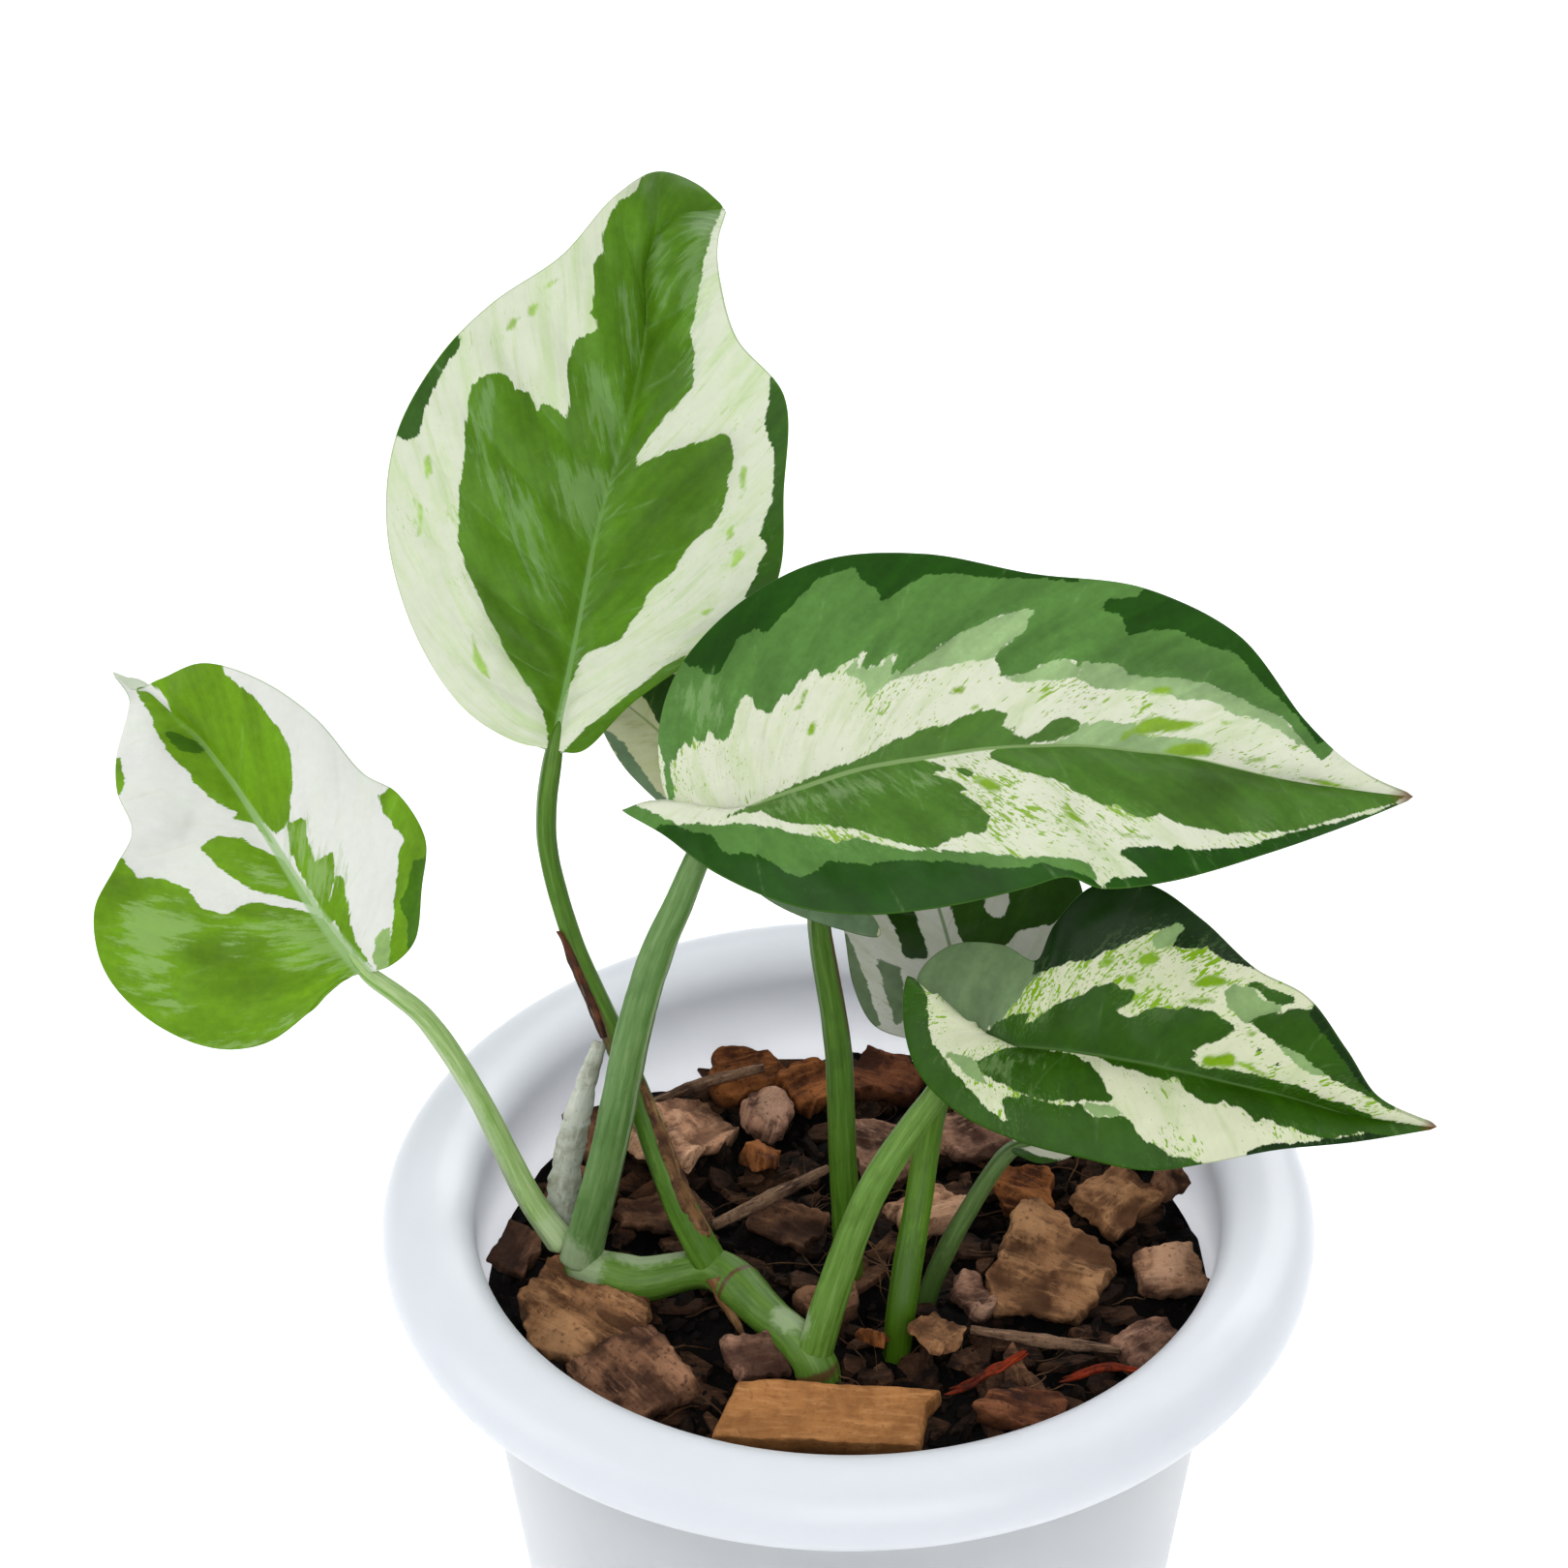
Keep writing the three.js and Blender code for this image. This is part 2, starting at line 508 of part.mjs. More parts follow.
let taken = stalk(vine.points, vine.radii, GAP);
addPiece('vine_stem', stalk(vine.points, vine.radii), greenStem);
const cutBack = (piece, spaces) => spaces.reduce((rest, space) => rest.subtract(space), piece);

for (const [name, petiole] of Object.entries(petioles)) {
  const points = petiolePoints(petiole);
  const piece = cutBack(stalk(points, petiole.radii), [taken, ...bladeSpaces]);
  addPiece(name, piece, petiole.material);
  taken = taken.add(stalk(points, petiole.radii, GAP));
}
addPiece('pale_sheath', cutBack(stalk(paleSheath.points, paleSheath.radii, 0, 0.5), [taken]), drySheath);
taken = taken.add(stalk(paleSheath.points, paleSheath.radii, GAP, 0.6));
addPiece('sheath_tail', cutBack(stalk(sheathTail.points, sheathTail.radii, 0, 0.5), [taken]), brownSheath);
taken = taken.add(stalk(sheathTail.points, sheathTail.radii, GAP, 0.7));

const room = makeRoom();
addPiece('wood_block', cutBack(slab(woodBlock, 2), [taken]).intersect(room), sawnWood);
taken = taken.add(slab(woodBlock, 2, GAP));
for (const [pieces, material] of [[twigs, husk], [fibres, redFibre]]) {
  for (const [name, { points, radii }] of Object.entries(pieces)) {
    addPiece(name, cutBack(stalk(points, radii, 0, 0.8, 6, 6), [taken]), material);
    taken = taken.add(stalk(points, radii, GAP, 0.85, 6, 6));
  }
}
chips.forEach((chip, i) => {
  const name = `husk_chip_${String(i + 1).padStart(2, '0')}`;
  addPiece(name, cutBack(slab(chip, i), [taken]).intersect(room), husk);
  taken = taken.add(slab(chip, i, GAP));
});
addPiece('growing_medium', cutBack(makeMedium(), [taken]), soil);

export default plant;
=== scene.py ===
"""Looks of the potted variegated pothos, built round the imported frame, in metres.

Tables are in millimetres, as on a drawing, and MM scales them. The patches of the leaves are outlined
in the pixels of the 1620 x 1620 frame that the camera sees.
"""

import itertools
import math

import bmesh
import bpy
import numpy as np
from mathutils import Matrix, Vector


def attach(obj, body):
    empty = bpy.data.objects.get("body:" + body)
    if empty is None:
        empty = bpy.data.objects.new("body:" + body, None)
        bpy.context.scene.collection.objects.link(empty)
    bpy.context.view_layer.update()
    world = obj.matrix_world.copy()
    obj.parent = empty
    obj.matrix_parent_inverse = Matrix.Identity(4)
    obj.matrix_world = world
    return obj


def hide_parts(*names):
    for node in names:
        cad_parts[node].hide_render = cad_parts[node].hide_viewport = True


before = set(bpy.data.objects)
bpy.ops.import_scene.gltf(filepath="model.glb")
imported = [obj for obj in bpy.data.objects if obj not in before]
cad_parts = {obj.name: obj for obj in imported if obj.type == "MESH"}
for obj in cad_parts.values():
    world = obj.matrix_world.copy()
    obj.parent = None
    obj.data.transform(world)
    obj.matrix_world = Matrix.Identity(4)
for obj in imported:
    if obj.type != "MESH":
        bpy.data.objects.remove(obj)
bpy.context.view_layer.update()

MM = 0.001

# Camera: where it stands, how far it looks down, how far it is rolled, its focal length in pixels, and the
# width of its sensor in millimetres
CAMERA_PLACE = np.array([-6.8, -300.1, 334.2])
CAMERA_DOWN = math.radians(32.57)
CAMERA_ROLL = math.radians(0.8)
FRAME_PIXELS = 1620
FOCAL_PIXELS = 3374
SENSOR_WIDTH = 36
SEED_SHIFT = 31.7  # cells that a seed's noise is moved from that of the seed before
SPAN_STEPS = 39  # of a curve, from one of its points to the next


# Shapes in numpy

def noise(points, size, seed=0):
    """Smooth noise from -1 to 1: a random number at each corner of a lattice of the given size, blended
    between corners by the smoothstep of the place in its cell."""
    scaled = np.asarray(points, float) / size + SEED_SHIFT * seed
    cell = np.floor(scaled).astype(np.int64)
    part = scaled - cell
    part = part * part * (3 - 2 * part)
    total = 0
    for corner in itertools.product((0, 1), repeat=3):
        x, y, z = np.moveaxis(cell + corner, -1, 0)
        mixed = (x * 73856093) ^ (y * 19349663) ^ (z * 83492791) ^ (seed * 49979687)
        mixed = (mixed ^ (mixed >> 13)) * 1274126177
        value = ((mixed ^ (mixed >> 16)) & 0xFFFF) / 32767.5 - 1
        total = total + value * np.prod(np.where(corner, part, 1 - part), axis=-1)
    return total


def noises(points, *layers):
    """The sum of noises, each given as its height, its size and its seed."""
    return sum(height * noise(points, size, seed) for height, size, seed in layers)


def bell(distance, width):
    """A bell curve: e to the power of minus the square of distance over width."""
    return np.exp(-(distance / width) ** 2)


def unit(vectors):
    """Vectors divided by their lengths."""
    return vectors / np.maximum(np.linalg.norm(vectors, axis=-1, keepdims=True), 1e-12)


def smoothstep(low, high, value):
    """0 below low, 1 above high, and 3t^2 - 2t^3 of the share between them."""
    share = np.clip((value - low) / (high - low), 0, 1)
    return share * share * (3 - 2 * share)


def curve_at(points, shares):
    """Points at shares of the length of a centripetal Catmull-Rom curve. Each span is the Barry-Goldman
    blend of its four control points, with knots at the square roots of their distances. Beyond either end
    the next control point is the mirror image of the last but one."""
    points = np.array(points, float)
    points = np.vstack([2 * points[0] - points[1], points, 2 * points[-1] - points[-2]])
    t = np.linspace(0, 1, SPAN_STEPS + 1)[:-1, None]
    spans = []
    for p0, p1, p2, p3 in zip(points, points[1:], points[2:], points[3:]):
        k = np.cumsum([0, *np.sqrt(np.linalg.norm([p1 - p0, p2 - p1, p3 - p2], axis=1))])
        at = k[1] + t * (k[2] - k[1])
        a1 = ((k[1] - at) * p0 + (at - k[0]) * p1) / (k[1] - k[0])
        a2 = ((k[2] - at) * p1 + (at - k[1]) * p2) / (k[2] - k[1])
        a3 = ((k[3] - at) * p2 + (at - k[2]) * p3) / (k[3] - k[2])
        b1 = ((k[2] - at) * a1 + (at - k[0]) * a2) / (k[2] - k[0])
        b2 = ((k[3] - at) * a2 + (at - k[1]) * a3) / (k[3] - k[1])
        spans.append(((k[2] - at) * b1 + (at - k[1]) * b2) / (k[2] - k[1]))
    line = np.vstack([*spans, points[-2]])
    length = np.concatenate([[0], np.cumsum(np.linalg.norm(np.diff(line, axis=0), axis=1))])
    wanted = np.asarray(shares) * length[-1]
    return np.stack([np.interp(wanted, length, line[:, axis]) for axis in range(3)], axis=-1)


def skin(rings, start, end, uv=None, values=None):
    """A closed skin: quads between neighbouring rings, and a fan of triangles from the first and the last
    ring to a pole. rings is rows x columns x 3 in metres, uv has one column more, which closes the seam,
    and values are numbers at each point. Returns the corners, the faces, the faces' uv and the values."""
    rows, columns = rings.shape[:2]
    corners = np.vstack([rings.reshape(-1, 3), start, end])
    first, last = len(corners) - 2, len(corners) - 1
    i, j = np.meshgrid(np.arange(rows - 1), np.arange(columns), indexing="ij")
    k = (j + 1) % columns
    row, next_row = i * columns, (i + 1) * columns
    quads = np.stack([row + j, row + k, next_row + k, next_row + j], axis=-1).reshape(-1, 4)
    around = np.arange(columns)
    after = (around + 1) % columns
    base = (rows - 1) * columns
    fans = np.vstack([
        np.stack([np.full(columns, first), after, around], axis=-1),
        np.stack([np.full(columns, last), base + around, base + after], axis=-1),
    ])
    a, b, c, d = (corners[quads[:, n]] for n in range(4))
    inside_out = np.einsum("ij,ij->", a, np.cross(b, c) + np.cross(c, d)) < 0
    turn = slice(None, None, -1) if inside_out else slice(None)
    flat = np.zeros((4 * len(quads) + 3 * len(fans), 2))
    if uv is not None:
        sides = np.stack([uv[:-1, :-1], uv[:-1, 1:], uv[1:, 1:], uv[1:, :-1]], axis=2).reshape(-1, 4, 2)
        tips = [np.stack([(near + far) / 2, near, far], axis=1)
                for near, far in ((uv[0, 1:], uv[0, :-1]), (uv[-1, :-1], uv[-1, 1:]))]
        flat = np.vstack([sides[:, turn].reshape(-1, 2), np.concatenate(tips)[:, turn].reshape(-1, 2)])
    spread = {key: np.broadcast_to(value, (rows, columns)) for key, value in (values or {}).items()}
    filled = {key: np.concatenate([value.ravel(), [value[0].mean(), value[-1].mean()]])
              for key, value in spread.items()}
    return corners, (quads[:, turn], fans[:, turn]), flat, filled


def plan_uv(rings):
    """A uv from the x and y of a skin's rings, with the seam closed."""
    return np.concatenate([rings, rings[:, :1]], axis=1)[..., :2] * MM


def circle(columns):
    """Angles round a circle, and their cosines, sines and a third column of zeros."""
    turn = 2 * np.pi * np.arange(columns) / columns
    return turn, np.stack([np.cos(turn), np.sin(turn), 0 * turn], axis=-1)


def show(name, *skins):
    """One object of one or more skins: their corners, faces, uv and values, one after the other."""
    corners, faces, flats, values, count = [], [], [], {}, 0
    for points, kinds, flat, filled in skins:
        faces += [(kind + count).tolist() for kind in kinds]
        count += len(points)
        corners.append(points)
        flats.append(flat)
        for key, value in filled.items():
            values.setdefault(key, []).append(value)
    mesh = bpy.data.meshes.new(name)
    mesh.from_pydata(np.vstack(corners).tolist(), [], list(itertools.chain(*faces)))
    mesh.polygons.foreach_set("use_smooth", np.ones(len(mesh.polygons), bool))
    mesh.uv_layers.new(name="surface").data.foreach_set("uv", np.vstack(flats).astype(np.float32).ravel())
    for key, value in values.items():
        attribute = mesh.attributes.new(key, "FLOAT", "POINT")
        attribute.data.foreach_set("value", np.concatenate(value).astype(np.float32))
    mesh.update()
    piece = bpy.data.objects.new(name, mesh)
    bpy.context.scene.collection.objects.link(piece)
    return piece


def finished(piece, material, slot, *nodes):
    """A piece with its material, which rides on the only body and stands for the given CAD nodes."""
    piece.data.materials.clear()
    piece.data.materials.append(material)
    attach(piece, "root")
    if nodes:
        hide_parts(*nodes)


def tube_frames(line, up):
    """Directions along a line of points and across it. Across starts as up, and is carried from point to
    point with the least turn: each step takes away its part along the new direction."""
    along = unit(np.gradient(line, axis=0))
    across = np.empty_like(line)
    last = np.array(up, float)
    for n, direction in enumerate(along):
        last = unit(last - direction * (last @ direction))
        across[n] = last
    return along, across, np.cross(along, across)


# Materials

def linear(red, green, blue, level=1.0):
    """An sRGB colour of 0 to 255 as the linear colour that a socket holds, times a level."""
    share = np.array([red, green, blue]) / 255
    value = np.where(share <= 0.04045, share / 12.92, ((share + 0.055) / 1.055) ** 2.4)
    return (*(level * value).tolist(), 1.0)


class Nodes:
    """Adds nodes to a tree and feeds their inputs with values or with other nodes' outputs."""

    def __init__(self, tree):
        self.tree = tree

    def feed(self, socket, value):
        if isinstance(value, bpy.types.NodeSocket):
            self.tree.links.new(value, socket)
        else:
            socket.default_value = value

    def add(self, kind, inputs=(), **settings):
        node = self.tree.nodes.new(kind)
        for key, value in settings.items():
            setattr(node, key, value)
        for key, value in dict(inputs).items():
            self.feed(node.inputs[key], value)
        return node

    def math(self, operation, *values):
        node = self.add("ShaderNodeMath", enumerate(values), operation=operation)
        return node.outputs[0]

    def times(self, first, *others):
        for other in others:
            first = self.math("MULTIPLY", first, other)
        return first

    def plus(self, first, *others):
        for other in others:
            first = self.math("ADD", first, other)
        return first

    def span(self, value, low, high, to_low=0.0, to_high=1.0, kind="SMOOTHSTEP"):
        numbers = {0: value, 1: low, 2: high, 3: to_low, 4: to_high}
        return self.add("ShaderNodeMapRange", numbers, interpolation_type=kind).outputs[0]

    def blend(self, share, first, second, kind="MIX"):
        node = self.add("ShaderNodeMix", {0: share, 6: first, 7: second}, data_type="RGBA", blend_type=kind)
        return node.outputs[2]

    def level(self, color, share):
        """A colour times a share that changes over the surface."""
        grey = self.add("ShaderNodeCombineColor", {0: share, 1: share, 2: share}).outputs[0]
        return self.blend(1.0, color, grey, "MULTIPLY")

    def noise(self, vector, scale, detail=2.0, rough=0.5):
        inputs = {"Vector": vector, "Scale": scale, "Detail": detail, "Roughness": rough}
        return self.add("ShaderNodeTexNoise", inputs).outputs["Fac"]

    def strokes(self, vector, across, along, detail=3.0, rough=0.6):
        """Noise drawn out into strokes by a scale of its own in either direction of a uv."""
        drawn = self.add("ShaderNodeMapping", {"Vector": vector, "Scale": (across, along, 1)})
        return self.noise(drawn.outputs[0], 1.0, detail, rough)

    def attribute(self, name):
        return self.add("ShaderNodeAttribute", attribute_name=name).outputs["Fac"]

    def group(self, tree, inputs):
        node = self.add("ShaderNodeGroup", node_tree=tree)
        for key, value in inputs.items():
            self.feed(node.inputs[key], value)
        return node.outputs


def new_group(name, inputs, outputs):
    """An empty node group with the named sockets. inputs maps a name to a socket kind and its default."""
    tree = bpy.data.node_groups.new(name, "ShaderNodeTree")
    for key, (kind, value) in inputs.items():
        socket = tree.interface.new_socket(key, in_out="INPUT", socket_type="NodeSocket" + kind)
        if value is not None:
            socket.default_value = value
    for key, kind in outputs.items():
        tree.interface.new_socket(key, in_out="OUTPUT", socket_type="NodeSocket" + kind)
    nodes = Nodes(tree)
    return tree, nodes, nodes.add("NodeGroupInput").outputs, nodes.add("NodeGroupOutput").inputs


def new_material(name, roughness=0.5):
    material = bpy.data.materials.new(name)
    material.use_nodes = True
    nodes = Nodes(material.node_tree)
    shader = material.node_tree.nodes["Principled BSDF"]
    shader.inputs["Roughness"].default_value = roughness
    return material, nodes, shader.inputs


def bumped(nodes, height, strength, distance):
    inputs = {"Height": height, "Strength": strength, "Distance": distance}
    return nodes.add("ShaderNodeBump", inputs).outputs[0]


# Leaves, as in the CAD source: the joint, the directions of the leaf's own frame, and three curves in that
# frame. Each curve starts at the joint, which isn't written, and both margins end at the midrib's tip
LEAVES = {
    "leaf_tall": {
        "joint": (-33, 15.5, 137.5), "pointing": (0.2, 0.59, 0.78), "facing": (0.02, -0.8, 0.6),
        "midrib": ((11.5, 0, -1), (26.5, 0, -1.5), (38.5, -1, -2), (49.5, -1, -2.5), (58, 0.5, -3),
            (64, -1, -5), (67.5, -7, -9)),
        "left": ((0.5, 5, 0), (3, 11, 1), (10.5, 18, 2), (21, 23, 3), (31.5, 24, 3.5), (41.5, 21, 3),
            (49, 16.5, 1.5), (56, 10, 0.5), (65, 5.5, -3), (69.5, 1.5, -6), (69.5, -3, -8)),
        "right": ((0.5, -3, 0.5), (6.5, -7.5, 2), (14.5, -15, 3), (22.5, -21, 3.5), (34, -20, 2),
            (44.5, -18, 3), (50, -11.5, 3), (56, -8.5, 2), (62, -7, -3)),
    },
    "leaf_front": {
        "joint": (-14.5, -5.5, 141), "pointing": (1, 0.03, 0.01), "facing": (0, -0.34, 0.94),
        "midrib": ((7, 2.5, 1), (16.5, 5.5, 1.5), (29, 7, 2), (40, 7.5, 1.5), (52, 6.5, 0), (64, 4.5, -2.5),
            (77.5, 4.5, -6)),
        "left": ((-4, 1.5, 0.5), (-5.5, 9.5, 2.5), (-3, 18, 4.5), (4.5, 25.5, 7), (13.5, 29.5, 8.5),
            (24.5, 29.5, 9), (36, 26.5, 8.5), (48.5, 24.5, 7.5), (58.5, 18.5, 6), (65, 9.5, 2),
            (69, 6.5, -1), (72.5, 5, -3)),
        "right": ((-4.5, 0, 1), (-9.5, 0.5, 2.5), (-5, -2, 1), (0, -6.5, 0.5), (7.5, -10, -1),
            (15.5, -11, -2), (25, -10, -2.5), (33, -8.5, -2), (37.5, -8, -1), (41, -8.5, -2.5),
            (48.5, -7, -4), (60, -3, -5), (70.5, 1.5, -6)),
    },
    "leaf_left": {
        "joint": (-55.5, 7, 113), "pointing": (-0.64, 0.58, 0.51), "facing": (-0.1, -0.72, 0.69),
        "midrib": ((7.5, 0, -0.5), (17, -1, -1), (26, -2, -1.5), (33.5, -2.5, -1), (40, -2, -1),
            (44.5, -1.5, 0), (47.5, 0, 2)),
        "left": ((1, 3, 1), (0.5, 8, 1.5), (1, 13.5, 1.5), (4.5, 18.5, 1), (12.5, 22.5, 0), (21, 23, -0.5),
            (27, 19.5, 0), (29, 14, 1.5), (30.5, 10, 2.5), (36, 8.5, 1), (40, 6, -0.5), (43, 2, -0.5),
            (44.3, 0.5, 0.2)),
        "right": ((-1.5, -2.5, 1), (-1.5, -6.5, 2), (2.5, -11, 2.5), (6.5, -15, 3), (13.5, -16, 1.5),
            (18, -14.5, 1), (26.5, -14.5, 1.5), (34.5, -12.5, 2), (41, -8.5, 1.5), (43.3, -3.5, 0.3),
            (44.5, -0.5, 0.3)),
    },
    "leaf_low": {
        "joint": (13.5, -8, 111.5), "pointing": (0.98, -0.19, -0.07), "facing": (0, -0.34, 0.94),
        "midrib": ((5.5, 1, 1), (11.5, 1.5, 1), (20, 1.5, 1), (28, 1.5, 0), (35.5, 1.5, -1), (43, 1, -2),
            (52.5, 2, -3)),
        "left": ((-4.5, 2.5, 1), (-7, 7, 2.5), (-4, 11, 4), (2, 11.5, 5), (6, 9.5, 6), (7.5, 12.5, 9.5),
            (11, 16.5, 12), (17, 17.5, 12.5), (23.5, 14.5, 11.5), (30, 10.5, 9.5), (36, 8.5, 8.5),
            (41, 4.5, 5.5), (45, 1.5, 2)),
        "right": ((-3.5, -1, 2), (-5, 1.5, 5), (-7.5, 3.5, 8), (-7.5, 0.5, 5), (-5, -4.5, 2), (0, -8, 0.5),
            (7, -9.5, -1), (14, -10, -1.5), (21.5, -10, -2), (27.5, -8, -2), (35, -4.5, -2.5),
            (43.5, -1.5, -3)),
    },
    "leaf_under": {
        "joint": (-3, 8.5, 124.5), "pointing": (-0.71, 0.61, 0.36), "facing": (-0.05, -0.55, 0.84),
        "midrib": ((9, 0, 0.5), (17.5, 0, 0.5), (27, -0.5, 0), (40, -0.5, -2)),
        "left": ((-3.5, -0.5, 0.5), (-8, -0.5, 0.5), (-10, 0.5, 0), (-5, 3.5, 0), (2, 5.5, -1),
            (10.5, 5.5, -2), (19.5, 5, -3), (27.5, 4.5, -3), (32.5, 3, -2.5)),
        "right": ((-4.5, -2, 0.5), (-6.5, -6.5, 1), (-3.5, -11.5, 1.5), (8.5, -14, 2), (20.5, -13.5, 2),
            (29.5, -9.5, 1), (37, -5.5, -0.5)),
    },
    "leaf_back": {
        "joint": (14.5, 8, 103), "pointing": (-0.25, 0.68, 0.69), "facing": (-0.05, -0.72, 0.69),
        "midrib": ((7.5, -0.5, 0), (15.5, -0.5, 0), (24, 0, -1), (32, 0, -3)),
        "left": ((-0.5, 3, 0), (1, 7.5, 0), (3.5, 10.5, -0.5), (8.5, 11.5, -1), (13.5, 11, -1),
            (19.5, 10, -1), (25, 7.5, -1), (29.5, 4, -2)),
        "right": ((-1.5, -4.5, 0.5), (0, -10, 1), (5, -14.5, 1), (10.5, -17, 1), (16.5, -16.5, 0.5),
            (23.5, -12.5, -1), (29, -6.5, -2)),
    },
    "leaf_small": {
        "joint": (19.5, -3.5, 94.5), "pointing": (0.99, 0.15, -0.05), "facing": (0.1, -0.35, 0.93),
        "midrib": ((4, 1, 0), (8.5, 1, 0), (12.5, 1, -0.5), (16, 1, -1.5)),
        "left": ((-0.5, 1.5, 0.5), (1.5, 3.5, 1.5), (6, 5, 2), (10.5, 4.5, 1.5), (14, 3, 0)),
        "right": ((-1, -1.5, 0.5), (1, -3.5, 1), (4, -5, 1), (8.5, -4.5, 0.5), (12.5, -2.5, -0.5)),
    },
}
RIB_LEAN = 1.6
BLADE_THICKNESS = 0.42

